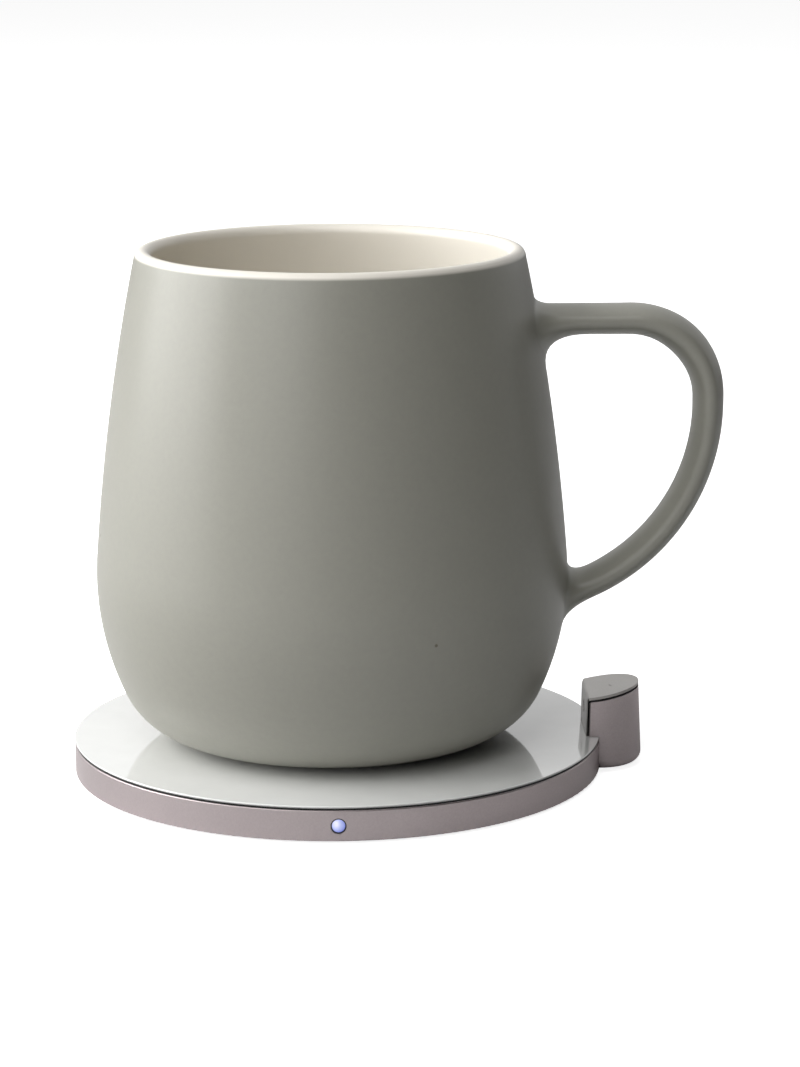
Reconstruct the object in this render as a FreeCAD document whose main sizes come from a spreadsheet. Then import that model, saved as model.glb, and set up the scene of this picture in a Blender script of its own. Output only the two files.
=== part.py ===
"""Electric mug warmer: a flat induction base, its sensor tower and the stoneware mug that it heats.

The origin is the centre of the base's footprint on the table. +Z is up, +X runs through the
tower and the mug's handle, and -Y is the front, where the lamp is. Lengths are in millimetres.
"""
import FreeCAD, Part
import math
import os
import re

import Sketcher

os.makedirs("parts", exist_ok=True)
doc = FreeCAD.newDocument("mug_warmer")

SIZES = {
    # Base: a flat round case on a rubber foot
    "base_radius": "52.5",
    "foot_proud": "0.6",
    "band_height": "5.95",
    "band_wall": "1.6",
    "band_edge": "0.25",
    "cut_spare": "1",
    "flange_reach": "1.5",
    "flange_thickness": "0.7",
    "cover_floor": "1.2",
    "case_fit": "0.1",
    "foot_ring_inset": "7.5",
    "foot_ring_width": "4",
    "foot_ring_groove": "0.6",
    "foot_ring_edge": "0.3",
    # Plate: thin toughened glass bonded to a moulded deck
    "glass_thickness": "0.55",
    "glass_edge": "0.3",
    "bond_thickness": "0.3",
    "bond_setback": "0.25",
    "deck_thickness": "1",
    # Screws that pull the bottom cover to the deck
    "cover_screw_inset": "7",
    "cover_screw_angle": "45",
    "cover_screw_count": "4",
    "cover_screw_radius": "0.8",
    "cover_screw_length": "3.4",
    "cover_screw_head": "1.9",
    "cover_screw_head_depth": "0.8",
    "cover_screw_recess": "0.2",
    "deck_boss_radius": "2.4",
    "deck_boss_blind": "0.2",
    "cover_boss_radius": "3.2",
    "cover_boss_floor": "0.6",
    "screw_play": "0.05",
    "clamp_rib_count": "8",
    "clamp_rib_width": "3",
    "clamp_rib_depth": "2",
    # Induction coil in its tray
    "ferrite_radius": "27",
    "ferrite_thickness": "0.8",
    "ferrite_hole": "3.2",
    "coil_outer": "26",
    "coil_inner": "9",
    "coil_thickness": "2",
    "coil_round": "0.5",
    "tray_wall": "1",
    "tray_floor": "0.6",
    "tray_play": "0.4",
    "mica_thickness": "0.3",
    "lead_radius": "0.35",
    "lead_spread": "2",
    "lead_bend": "0.9",
    "lead_reach": "5",
    "lead_notch": "7",
    "thermistor_radius": "1.6",
    "thermistor_post_radius": "2.6",
    "thermistor_play": "0.4",
    # Circuit board, a crescent between the lamp and the inlet
    "board_inner_gap": "1.6",
    "board_outer_gap": "0.8",
    "board_sweep_angle": "104",
    "board_thickness": "0.8",
    "board_standoff": "0.6",
    "board_screw_inset": "3.5",
    "board_screw_count": "4",
    "board_screw_step_angle": "50",
    "board_screw_radius": "0.7",
    "board_screw_length": "1.9",
    "board_screw_head": "1.4",
    "board_screw_head_depth": "0.5",
    "board_post_radius": "1.8",
    "chip_side": "5",
    "chip_height": "0.9",
    "chip_gap": "0.6",
    "chip_count": "3",
    "chip_step_angle": "17",
    "capacitor_width": "3.2",
    "capacitor_length": "4.5",
    "capacitor_height": "1.8",
    "capacitor_inset": "4",
    "capacitor_count": "4",
    "capacitor_step_angle": "9",
    "capacitor_first_angle": "58",
    "inductor_side": "7",
    "inductor_height": "1.6",
    "inductor_drum_radius": "2.9",
    "inductor_drum_height": "0.4",
    "inductor_inset": "1",
    "inductor_angle": "68",
    "flex_connector_width": "5.2",
    "flex_connector_depth": "3.5",
    "flex_connector_height": "0.9",
    "flex_connector_inset": "1",
    # Lamp in the front of the band
    "lamp_radius": "1.25",
    "lamp_ring": "0.25",
    "lamp_dome": "0.3",
    "lamp_chip_width": "1.6",
    "lamp_chip_depth": "0.8",
    "lamp_chip_height": "0.8",
    "lamp_gap": "0.1",
    # Power inlet in the back of the band
    "inlet_width": "8.94",
    "inlet_height": "3.26",
    "inlet_depth": "7.3",
    "inlet_wall": "0.3",
    "inlet_inset": "0.4",
    "inlet_play": "0.15",
    "inlet_back": "1.8",
    "tongue_width": "6.7",
    "tongue_thickness": "0.7",
    "tongue_setback": "0.9",
    # Tower at the edge of the base
    "tower_radius": "8",
    "tower_face_inset": "3.1",
    "tower_low": "7.8",
    "tower_high": "9.8",
    "tower_foot": "0.65",
    "tower_foot_round": "2.2",
    "tower_corner": "1.2",
    "tower_shell_corner": "0.4",
    "tower_gasket_corner": "0.8",
    "tower_bend": "1.5",
    "tower_least_bend": "0.15",
    "tower_wall": "1.2",
    "tower_floor": "1.2",
    "tower_gap": "0.15",
    "tower_lift": "0.1",
    "tower_cover": "0.5",
    "tower_gasket": "0.45",
    "tower_gasket_setback": "0.3",
    "tower_gasket_width": "1",
    "lug_reach": "3.5",
    "lug_inner": "3.2",
    "lug_outer": "6.4",
    "lug_height": "3.7",
    "side_screw_spread": "4.8",
    "side_screw_radius": "0.7",
    "side_screw_length": "4",
    "side_screw_head": "1.15",
    "side_screw_head_depth": "0.6",
    "post_reach": "3.9",
    "post_radius": "2",
    "post_height": "5.1",
    "post_screw_radius": "0.9",
    "post_screw_length": "8.4",
    "post_screw_head": "1.7",
    "post_screw_head_depth": "0.7",
    "post_screw_recess": "1",
    # Cup sensor behind a dark window in the tower's flat face
    "window_radius": "1.3",
    "window_height": "4.3",
    "window_inset": "0.1",
    "window_play": "0.05",
    "sensor_standoff": "2.1",
    "sensor_side": "4",
    "sensor_nose": "1.1",
    "sensor_nose_gap": "0.1",
    "sensor_nose_length": "0.4",
    "sensor_board_width": "12.4",
    "sensor_board_bottom": "0.7",
    "sensor_board_height": "5.5",
    "sensor_board_thickness": "0.8",
    "sensor_screw_spread": "4.6",
    "sensor_screw_height": "1.9",
    "sensor_screw_radius": "0.6",
    "sensor_screw_length": "1.8",
    "sensor_screw_head": "1",
    "sensor_screw_head_depth": "0.4",
    "sensor_boss_radius": "1.2",
    "flex_width": "4",
    "flex_thickness": "0.15",
    "flex_bend": "0.5",
    "flex_lap": "1.6",
    "flex_slot_height": "0.8",
    "flex_slot_play": "0.6",
    # Mug: one stoneware body with its handle
    "mug_height": "97.15",
    "mug_wall": "3.3",
    "rim_radius": "38",
    "belly_radius": "46.39",
    "belly_height": "34.05",
    "belly_curve": "56.5",
    "upper_curve": "571",
    "side_curve": "19.5",
    "mug_foot_height": "1.04",
    "mug_foot_radius": "23.6",
    "mug_foot_width": "2.6",
    "mug_recess": "0.9",
    "film_thickness": "0.4",
    "film_play": "0.2",
    "handle_height": "82.8",
    "handle_reach": "73.3",
    "handle_knuckle": "17",
    "handle_sweep": "39.3",
    "handle_width": "12",
    "handle_thickness": "6",
    "handle_side": "1.7",
    "handle_embed": "1.7",
    "handle_joint": "0.05",
    "handle_fillet": "3.6",
}

sheet = doc.addObject("Spreadsheet::Sheet", "Sizes")
for line, (alias, number) in enumerate(SIZES.items(), start=1):
    sheet.set(f"A{line}", alias)
    sheet.set(f"B{line}", number)
    sheet.setAlias(f"B{line}", alias)
doc.recompute()

# How far apart two levels may be read off a shape and still count as one
NEAR = 0.01

# Levels and places that several pieces share, as formulas of the sizes
BAND_TOP = "(foot_proud + band_height)"
GLASS_UNDER = f"({BAND_TOP} + bond_thickness)"
PLATE_TOP = f"({GLASS_UNDER} + glass_thickness)"
COVER_TOP = "(foot_proud + cover_floor)"
DECK_UNDER = f"({BAND_TOP} - deck_thickness)"
FLANGE_UNDER = f"({DECK_UNDER} - flange_thickness)"
PORT_LEVEL = "(foot_proud + band_height / 2)"
BAND_BORE = "(base_radius - band_wall)"
CASE_RADIUS = f"({BAND_BORE} - case_fit)"
TRAY_TOP = f"({COVER_TOP} + tray_floor)"
FERRITE_TOP = f"({TRAY_TOP} + ferrite_thickness)"
COIL_TOP = f"({FERRITE_TOP} + coil_thickness)"
COIL_LEVEL = f"({FERRITE_TOP} + coil_thickness / 2)"
BOARD_UNDER = f"({COVER_TOP} + board_standoff)"
BOARD_TOP = f"({BOARD_UNDER} + board_thickness)"
FACE_X = "(base_radius - tower_face_inset)"
NOSE_X = "(base_radius + tower_radius)"
TOWER_SEAT = f"({PLATE_TOP} + tower_lift)"
TOWER_LOFT = f"({PLATE_TOP} + tower_high + tower_bend)"
TOWER_FLOOR = "(tower_foot + tower_floor)"
POST_X = "(base_radius + post_reach)"
WINDOW_LEVEL = f"({PLATE_TOP} + window_height)"
COVER_BACK = f"({FACE_X} + tower_cover)"
SENSOR_BOARD_X = f"({COVER_BACK} + sensor_standoff)"
SENSOR_BOARD_BACK = f"({SENSOR_BOARD_X} + sensor_board_thickness)"
SENSOR_BOARD_FOOT = f"({PLATE_TOP} + sensor_board_bottom)"
SENSOR_SCREW_LEVEL = f"({PLATE_TOP} + sensor_screw_height)"
FLEX_LEVEL = f"({BOARD_TOP} + flex_connector_height)"
COVER_SEAT = "(foot_proud + cover_screw_recess + cover_screw_head_depth)"
BOSS_TOP = f"({COVER_SEAT} + cover_boss_floor)"
POST_TOP = f"({DECK_UNDER} - screw_play)"
FOOT_CIRCLE = "(base_radius - foot_ring_inset)"
COVER_SCREW_CIRCLE = f"({FOOT_CIRCLE} - cover_screw_inset)"
TRAY_BORE = "(ferrite_radius + tray_play)"
BOARD_INNER = f"({TRAY_BORE} + tray_wall + board_inner_gap)"
LEAD_END = "(coil_outer + lead_reach)"
CHIP_CIRCLE = f"({LEAD_END} + lead_radius + chip_gap + chip_side / 2)"
BOARD_OUTER = f"({CASE_RADIUS} - clamp_rib_depth - board_outer_gap)"
BOARD_MIDDLE = f"({BOARD_INNER} + {BOARD_OUTER}) / 2"
BOARD_SCREW_CIRCLE = f"({BOARD_OUTER} - board_screw_inset)"
BOARD_FIRST = "(0 - board_screw_count + 1) / 2 * board_screw_step_angle"
BOARD_TURN = "(board_screw_count - 1) * board_screw_step_angle"


def formula(text):
    """The text with the name of every size pointing at its cell."""
    def cell(word):
        return "Sizes." + word.group() if word.group() in SIZES else word.group()
    return re.sub(r"[a-z][a-z0-9_]*", cell, text)


def value(text):
    """The number that a formula of sizes comes to."""
    return float(sheet.evalExpression(formula(text)))


def bind(thing, place, text):
    """Ties a property or a constraint to a formula of sizes."""
    thing.setExpression(place, formula(text))


def new_body(name):
    """A new piece, made by its own features."""
    return doc.addObject("PartDesign::Body", name)


def origin_part(body, role):
    """One of the body's own origin planes or axes."""
    return next(feature for feature in body.Origin.OriginFeatures if feature.Role == role)


def new_sketch(body, name, plane="XY_Plane", offset=None):
    """An empty sketch on one of the body's origin planes, or lifted off it along its normal."""
    sketch = body.newObject("Sketcher::SketchObject", f"{body.Name}_{name}")
    sketch.AttachmentSupport = [(origin_part(body, plane), "")]
    sketch.MapMode = "FlatFace"
    if offset:
        bind(sketch, "AttachmentOffset.Base.z", offset)
    return sketch


def dimension(sketch, kind, edge, end, text):
    """One driving dimension of a sketch, tied to a formula."""
    if end is None:
        number = sketch.addConstraint(Sketcher.Constraint(kind, edge, value(text)))
    elif text == "0":
        axis = -2 if kind == "DistanceX" else -1
        sketch.addConstraint(Sketcher.Constraint("PointOnObject", edge, end, axis))
        return
    else:
        number = sketch.addConstraint(Sketcher.Constraint(kind, edge, end, value(text)))
    bind(sketch, f"Constraints[{number}]", text)


def arc_between(start, finish, radius):
    """The short arc from start to finish: counter-clockwise where the radius is positive."""
    chord = finish - start
    rise = math.sqrt(max(radius * radius - chord.Length ** 2 / 4, 0))
    left = FreeCAD.Vector(-chord.y, chord.x, 0).normalize()
    centre = (start + finish) / 2 + left * math.copysign(rise, radius)
    first, last = (start, finish) if radius > 0 else (finish, start)
    begin = math.atan2(first.y - centre.y, first.x - centre.x)
    end = math.atan2(last.y - centre.y, last.x - centre.x)
    if end <= begin:
        end += 2 * math.pi
    circle = Part.Circle(centre, FreeCAD.Vector(0, 0, 1), abs(radius))
    return Part.ArcOfCircle(circle, begin, end)


def draw_run(sketch, corners, closed=True):
    """Draws lines and arcs from corner to corner, each corner tied to its formulas.

    A corner is (across, up), or (across, up, radius) where an arc leaves it.
    """
    places = [FreeCAD.Vector(value(corner[0]), value(corner[1]), 0) for corner in corners]
    count = len(corners) if closed else len(corners) - 1
    first = sketch.GeometryCount
    ends = []
    for index in range(count):
        corner = corners[index]
        start = places[index]
        finish = places[(index + 1) % len(corners)]
        if len(corner) == 2:
            edge = sketch.addGeometry(Part.LineSegment(start, finish))
            ends.append((1, 2))
        else:
            radius = value(corner[2])
            edge = sketch.addGeometry(arc_between(start, finish, radius))
            ends.append((1, 2) if radius > 0 else (2, 1))
            dimension(sketch, "Radius", edge, None, f"abs({corner[2]})")
    for index in range(count):
        begin = ends[index][0]
        if index or closed:
            before = (index - 1) % count
            joint = Sketcher.Constraint("Coincident", first + before, ends[before][1], first + index, begin)
            sketch.addConstraint(joint)
        dimension(sketch, "DistanceX", first + index, begin, corners[index][0])
        dimension(sketch, "DistanceY", first + index, begin, corners[index][1])
    if not closed:
        dimension(sketch, "DistanceX", first + count - 1, ends[-1][1], corners[-1][0])
        dimension(sketch, "DistanceY", first + count - 1, ends[-1][1], corners[-1][1])
    return sketch


def draw_circle(sketch, across, up, radius):
    """Draws a circle with its centre and radius tied to formulas."""
    centre = FreeCAD.Vector(value(across), value(up), 0)
    circle = Part.Circle(centre, FreeCAD.Vector(0, 0, 1), value(radius))
    edge = sketch.addGeometry(circle)
    dimension(sketch, "DistanceX", edge, 3, across)
    dimension(sketch, "DistanceY", edge, 3, up)
    dimension(sketch, "Radius", edge, None, radius)
    return sketch


def draw_box(sketch, left, low, right, high):
    """Draws an upright rectangle."""
    return draw_run(sketch, [(left, low), (right, low), (right, high), (left, high)])


def draw_slot(sketch, level, width, height):
    """Draws a level slot with round ends, centred on the upright axis."""
    half = f"(({width}) - ({height})) / 2"
    low = f"{level} - ({height}) / 2"
    high = f"{level} + ({height}) / 2"
    reach = f"({width}) / 2"
    turn = f"({height}) / 2"
    return draw_run(sketch, [
        (f"-({half})", low), (half, low, turn), (reach, level, turn), (half, high),
        (f"-({half})", high, turn), (f"-({reach})", level, turn),
    ])


def settle(body, feature):
    """Makes a feature the piece's last one and checks that it came out."""
    body.Tip = feature
    doc.recompute()
    if "Invalid" in feature.State or "Error" in feature.State or not feature.isValid():
        raise RuntimeError(f"{feature.Name} failed: {feature.State}")
    return feature


def extrude(kind, body, sketch, length, side):
    """A pad or a pocket from a sketch: with its normal, against it, or both ways by half."""
    feature = body.newObject(kind, sketch.Name + "_" + kind.split("::")[1].lower())
    feature.Profile = sketch
    bind(feature, "Length", length)
    if side == "both":
        feature.SideType = "Symmetric"
    cuts = kind.endswith("Pocket")
    feature.Reversed = (side == "along") if cuts else (side == "against")
    sketch.Visibility = False
    return settle(body, feature)


def pad(body, sketch, length, side="along"):
    """Adds material along a sketch's normal, against it, or both ways."""
    return extrude("PartDesign::Pad", body, sketch, length, side)


def pocket(body, sketch, length, side="along"):
    """Cuts material along a sketch's normal, against it, or both ways."""
    before = body.Shape.Volume
    feature = extrude("PartDesign::Pocket", body, sketch, length, side)
    if body.Shape.Volume > before - 1e-6:
        raise RuntimeError(f"{feature.Name} cut nothing")
    return feature


def turn_body(name, corners):
    """A turned piece: a half section in the XZ plane, revolved about Z."""
    body = new_body(name)
    section = draw_run(new_sketch(body, "section", "XZ_Plane"), corners)
    feature = body.newObject("PartDesign::Revolution", name + "_turned")
    feature.Profile = section
    feature.ReferenceAxis = (section, ["V_Axis"])
    feature.Angle = 360
    settle(body, feature)
    return body


def ring_body(name, inner, outer, low, high):
    """A flat ring, or a disc where the inner radius is nothing."""
    body = new_body(name)
    face = draw_circle(new_sketch(body, "face", offset=low), "0", "0", outer)
    if inner:
        draw_circle(face, "0", "0", inner)
    pad(body, face, f"{high} - {low}")
    return body


def around(body, features, count, angle):
    """Repeats features about Z, over a whole turn or a part of one."""
    feature = body.newObject("PartDesign::PolarPattern", body.Name + "_round_" + features[0].Name)
    feature.Originals = features
    feature.Axis = (origin_part(body, "Z_Axis"), [""])
    bind(feature, "Angle", angle)
    bind(feature, "Occurrences", count)
    return settle(body, feature)


def both_sides(body, features):
    """Repeats features on the other side of the XZ plane."""
    feature = body.newObject("PartDesign::Mirrored", body.Name + "_other_" + features[0].Name)
    feature.Originals = features
    feature.MirrorPlane = (origin_part(body, "XZ_Plane"), [""])
    return settle(body, feature)


def fillet(body, edges, radius):
    """Rounds the edges of the piece's last feature that a test picks."""
    base = body.Tip
    picked = [f"Edge{n}" for n, edge in enumerate(base.Shape.Edges, start=1) if edges(edge)]
    if not picked:
        raise RuntimeError(f"no edges to round on {body.Name}")
    feature = body.newObject("PartDesign::Fillet", f"{body.Name}_round_{len(body.Group)}")
    feature.Base = (base, picked)
    bind(feature, "Radius", radius)
    return settle(body, feature)


def on_level(edge, level):
    """True for an edge that lies wholly at one height."""
    box = edge.BoundBox
    return math.isclose(box.ZMin, level, abs_tol=NEAR) and math.isclose(box.ZMax, level, abs_tol=NEAR)


def place_on_circle(circle, angle):
    """The two coordinates of a place on a circle about Z, at an angle from +X."""
    return f"{circle} * cos({angle})", f"{circle} * sin({angle})"


def side_ring():
    """The anodised aluminium band, with its inner flange and its four kinds of opening."""
    edge = "band_edge"
    flange = f"({BAND_BORE} - flange_reach)"
    body = turn_body("side_ring", [
        (BAND_BORE, "foot_proud"), (f"base_radius - {edge}", "foot_proud", edge),
        ("base_radius", f"foot_proud + {edge}"), ("base_radius", f"{BAND_TOP} - {edge}", edge),
        (f"base_radius - {edge}", BAND_TOP), (BAND_BORE, BAND_TOP), (BAND_BORE, DECK_UNDER),
        (flange, DECK_UNDER), (flange, FLANGE_UNDER), (BAND_BORE, FLANGE_UNDER),
    ])
    lamp = draw_circle(new_sketch(body, "lamp_hole", "XZ_Plane"), "0", PORT_LEVEL, "lamp_radius + lamp_ring")
    pocket(body, lamp, "base_radius + cut_spare")
    inlet = new_sketch(body, "inlet_hole", "XZ_Plane")
    draw_slot(inlet, PORT_LEVEL, "inlet_width + 2 * inlet_play", "inlet_height + 2 * inlet_play")
    pocket(body, inlet, "base_radius + cut_spare", "against")
    half = "(flex_width / 2 + flex_slot_play)"
    slot = new_sketch(body, "flex_slot", "YZ_Plane")
    draw_box(slot, f"-{half}", f"{FLEX_LEVEL} + flex_thickness / 2 - flex_slot_height / 2",
             half, f"{FLEX_LEVEL} + flex_thickness / 2 + flex_slot_height / 2")
    pocket(body, slot, "base_radius + cut_spare")
    screws = new_sketch(body, "tower_screw_holes", "YZ_Plane")
    for side in ("", "-"):
        draw_circle(screws, f"{side}side_screw_spread", PORT_LEVEL, "side_screw_radius + screw_play")
    pocket(body, screws, "base_radius + cut_spare")
    return body


def glass_plate():
    """The white glass plate, as wide as the band, with its rounded edge."""
    edge = "glass_edge"
    return turn_body("glass_plate", [
        ("0", GLASS_UNDER), ("base_radius", GLASS_UNDER), ("base_radius", f"{PLATE_TOP} - {edge}", edge),
        (f"base_radius - {edge}", PLATE_TOP), ("0", PLATE_TOP),
    ])


def glass_bond():
    """The black bonding layer that shows as a dark line under the glass."""
    return ring_body("glass_bond", "thermistor_radius + thermistor_play", "base_radius - bond_setback",
                     BAND_TOP, GLASS_UNDER)


def top_deck():
    """The moulded deck under the glass, with the bosses that the cover's screws bite into."""
    body = ring_body("top_deck", "thermistor_radius + thermistor_play", CASE_RADIUS, DECK_UNDER, BAND_TOP)
    centre = place_on_circle(COVER_SCREW_CIRCLE, "cover_screw_angle")
    boss = draw_circle(new_sketch(body, "boss", offset=BOSS_TOP), *centre, "deck_boss_radius")
    grown = pad(body, boss, f"{DECK_UNDER} - {BOSS_TOP}")
    hole = draw_circle(new_sketch(body, "boss_hole", offset=BOSS_TOP), *centre,
                       "cover_screw_radius + screw_play")
    bored = pocket(body, hole, f"{DECK_UNDER} - {BOSS_TOP} - deck_boss_blind")
    around(body, [grown, bored], "cover_screw_count", "360")
    return body


def bottom_cover():
    """The moulded bottom cover: foot groove, screw bosses, board posts and clamp ribs."""
    body = ring_body("bottom_cover", None, CASE_RADIUS, "foot_proud", COVER_TOP)
    groove = new_sketch(body, "foot_groove", offset="foot_proud")
    draw_circle(groove, "0", "0", f"{FOOT_CIRCLE} - foot_ring_width / 2")
    draw_circle(groove, "0", "0", f"{FOOT_CIRCLE} + foot_ring_width / 2")
    pocket(body, groove, "foot_ring_groove")
    start = f"({COVER_TOP} - cover_floor / 4)"
    centre = place_on_circle(COVER_SCREW_CIRCLE, "cover_screw_angle")
    boss = draw_circle(new_sketch(body, "screw_boss", offset=start), *centre, "cover_boss_radius")
    grown = pad(body, boss, f"{BOSS_TOP} - {start}")
    head = draw_circle(new_sketch(body, "screw_recess", offset="foot_proud"), *centre,
                       "cover_screw_head + 2 * screw_play")
    sunk = pocket(body, head, f"{COVER_SEAT} - foot_proud")
    hole = draw_circle(new_sketch(body, "screw_hole", offset="foot_proud"), *centre,
                       "cover_screw_radius + 2 * screw_play")
    bored = pocket(body, hole, f"{BOSS_TOP} - foot_proud")
    around(body, [grown, sunk, bored], "cover_screw_count", "360")
    centre = place_on_circle(BOARD_SCREW_CIRCLE, BOARD_FIRST)
    post = draw_circle(new_sketch(body, "board_post", offset=start), *centre, "board_post_radius")
    raised = pad(body, post, f"{BOARD_UNDER} - {start}")
    depth = "(board_screw_length - board_thickness)"
    tap = draw_circle(new_sketch(body, "board_tap", offset=f"{BOARD_UNDER} - {depth}"), *centre,
                      "board_screw_radius + screw_play")
    tapped = pocket(body, tap, depth)
    around(body, [raised, tapped], "board_screw_count", BOARD_TURN)
    rib = new_sketch(body, "clamp_rib", offset=start)
    step = "180 / clamp_rib_count"
    inner = f"({CASE_RADIUS} - clamp_rib_depth)"
    corners = []
    for reach, side in ((inner, "-"), (CASE_RADIUS, "-"), (CASE_RADIUS, "+"), (inner, "+")):
        turn = f"({step} {side} clamp_rib_width / 2 / {CASE_RADIUS} * 180 / pi)"
        bare = "" if reach == inner else " - case_fit"
        corners.append((f"({reach}{bare}) * cos({turn})", f"({reach}{bare}) * sin({turn})"))
    grown = pad(body, draw_run(rib, corners), f"{FLANGE_UNDER} - {start}")
    around(body, [grown], "clamp_rib_count", "360")
    return body


def foot_ring():
    """The silicone ring that the base stands on, seated in its groove."""
    inner = f"({FOOT_CIRCLE} - foot_ring_width / 2)"
    outer = f"({FOOT_CIRCLE} + foot_ring_width / 2)"
    edge = "foot_ring_edge"
    top = "foot_proud + foot_ring_groove"
    return turn_body("foot_ring", [
        (f"{inner} + {edge}", "0"), (f"{outer} - {edge}", "0", edge), (outer, edge), (outer, top),
        (inner, top), (inner, edge, edge),
    ])


def screw(body, name, centre, bearing, shank, head, axis="XY_Plane", head_first=True):
    """One screw: a shank of (radius, length) and a head of (radius, depth) from its bearing face.

    The shank runs along the plane's normal where head_first is true, and otherwise against it.
    """
    way, back = ("along", "against") if head_first else ("against", "along")
    rod = draw_circle(new_sketch(body, name + "_shank", axis, bearing), *centre, shank[0])
    driven = pad(body, rod, shank[1], way)
    cap = draw_circle(new_sketch(body, name + "_head", axis, bearing), *centre, head[0])
    capped = pad(body, cap, head[1], back)
    return [driven, capped]


def cover_screws():
    """The four screws that go up through the bottom cover into the deck's bosses."""
    body = new_body("cover_screws")
    pieces = screw(body, "one", place_on_circle(COVER_SCREW_CIRCLE, "cover_screw_angle"),
                   COVER_SEAT,
                   ("cover_screw_radius", "cover_screw_length"),
                   ("cover_screw_head", "cover_screw_head_depth"))
    around(body, pieces, "cover_screw_count", "360")
    return body


def board_screws():
    """The four screws that hold the circuit board to its posts."""
    body = new_body("board_screws")
    pieces = screw(body, "one", place_on_circle(BOARD_SCREW_CIRCLE, BOARD_FIRST), BOARD_TOP,
                   ("board_screw_radius", "board_screw_length"),
                   ("board_screw_head", "board_screw_head_depth"), head_first=False)
    around(body, pieces, "board_screw_count", BOARD_TURN)
    return body


def coil_tray():
    """The moulded tray that holds the ferrite and the coil, with a notch for the coil's leads."""
    outer = f"({TRAY_BORE} + tray_wall)"
    body = turn_body("coil_tray", [
        ("0", COVER_TOP), (outer, COVER_TOP), (outer, COIL_TOP), (TRAY_BORE, COIL_TOP),
        (TRAY_BORE, TRAY_TOP), ("0", TRAY_TOP),
    ])
    notch = new_sketch(body, "lead_notch", "YZ_Plane")
    draw_box(notch, "-lead_notch / 2", f"{COIL_LEVEL} - 2 * lead_radius", "lead_notch / 2",
             f"{COIL_TOP} + cut_spare")
    pocket(body, notch, f"{outer} + cut_spare")
    return body


def transmitter_coil():
    """The flat pancake coil, bound into one ring with rounded edges."""
    edge = "coil_round"
    return turn_body("transmitter_coil", [
        (f"coil_inner + {edge}", FERRITE_TOP), (f"coil_outer - {edge}", FERRITE_TOP, edge),
        ("coil_outer", f"{FERRITE_TOP} + {edge}"), ("coil_outer", f"{COIL_TOP} - {edge}", edge),
        (f"coil_outer - {edge}", COIL_TOP), (f"coil_inner + {edge}", COIL_TOP, edge),
        ("coil_inner", f"{COIL_TOP} - {edge}"), ("coil_inner", f"{FERRITE_TOP} + {edge}", edge),
    ])


def coil_leads():
    """The coil's two ends, bent down onto the circuit board."""
    body = new_body("coil_leads")
    path = new_sketch(body, "route", "XZ_Plane", "-lead_spread")
    draw_run(path, [
        ("coil_outer", COIL_LEVEL), (f"{LEAD_END} - lead_bend", COIL_LEVEL, "-lead_bend"),
        (LEAD_END, f"{COIL_LEVEL} - lead_bend"), (LEAD_END, BOARD_TOP),
    ], closed=False)
    section = draw_circle(new_sketch(body, "section", "YZ_Plane", "coil_outer"), "lead_spread", COIL_LEVEL,
                          "lead_radius")
    pipe = body.newObject("PartDesign::AdditivePipe", "coil_leads_pipe")
    pipe.Profile = section
    pipe.Spine = path
    settle(body, pipe)
    both_sides(body, [pipe])
    return body


def main_board():
    """The crescent circuit board, cut round the deck's bosses and the inlet."""
    body = new_body("main_board")
    face = new_sketch(body, "face", offset=BOARD_UNDER)
    ends = [place_on_circle(reach, angle) for reach, angle in (
        (BOARD_OUTER, "-board_sweep_angle"), (BOARD_OUTER, "0"), (BOARD_OUTER, "board_sweep_angle"),
        (BOARD_INNER, "board_sweep_angle"), (BOARD_INNER, "0"), (BOARD_INNER, "-board_sweep_angle"))]
    bends = (BOARD_OUTER, BOARD_OUTER, None, f"-{BOARD_INNER}", f"-{BOARD_INNER}", None)
    draw_run(face, [place + ((bend,) if bend else ()) for place, bend in zip(ends, bends)])
    pad(body, face, "board_thickness")
    notch = new_sketch(body, "inlet_notch", offset=BOARD_UNDER)
    half = "(inlet_width / 2 + inlet_play)"
    draw_box(notch, f"-{half}", "base_radius - inlet_inset - inlet_depth - inlet_play", half, "base_radius")
    pocket(body, notch, "board_thickness")
    holes = new_sketch(body, "holes", offset=BOARD_UNDER)
    for side in ("-", ""):
        boss = place_on_circle(COVER_SCREW_CIRCLE, f"{side}cover_screw_angle")
        draw_circle(holes, *boss, "deck_boss_radius + inlet_play")
    for place in range(round(value("board_screw_count"))):
        angle = f"({place} * board_screw_step_angle + {BOARD_FIRST})"
        draw_circle(holes, *place_on_circle(BOARD_SCREW_CIRCLE, angle), "board_screw_radius + screw_play")
    pocket(body, holes, "board_thickness")
    return body


def fanned_blocks(name, circle, first, spread, count, depth, width, height):
    """A fan of like chips on the circuit board, long side on to the centre of the base."""
    body = new_body(name)
    face = new_sketch(body, "face", offset=BOARD_TOP)
    draw_box(face, f"{circle} - {depth} / 2", f"-{width} / 2", f"{circle} + {depth} / 2", f"{width} / 2")
    block = pad(body, face, height)
    if value(count) > 1:
        around(body, [block], count, f"({count} - 1) * {spread}")
    bind(body, "Placement.Rotation.Angle", first)
    return body


def filter_inductor():
    """The moulded power inductor, with its rounded drum showing on top."""
    circle = f"({BOARD_MIDDLE} - inductor_inset)"
    body = fanned_blocks("filter_inductor", circle, "-inductor_angle", "0", "1",
                         "inductor_side", "inductor_side", "inductor_height")
    drum = new_sketch(body, "drum", offset=f"{BOARD_TOP} + inductor_height")
    draw_circle(drum, circle, "0", "inductor_drum_radius")
    pad(body, drum, "inductor_drum_height")
    return body


def flex_connector():
    """The socket on the circuit board that the sensor's ribbon plugs into."""
    body = new_body("flex_connector")
    face = new_sketch(body, "face", offset=BOARD_TOP)
    outer = f"({BOARD_OUTER} - flex_connector_inset)"
    draw_box(face, f"{outer} - flex_connector_depth", "-flex_connector_width / 2", outer,
             "flex_connector_width / 2")
    pad(body, face, "flex_connector_height")
    return body


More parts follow.
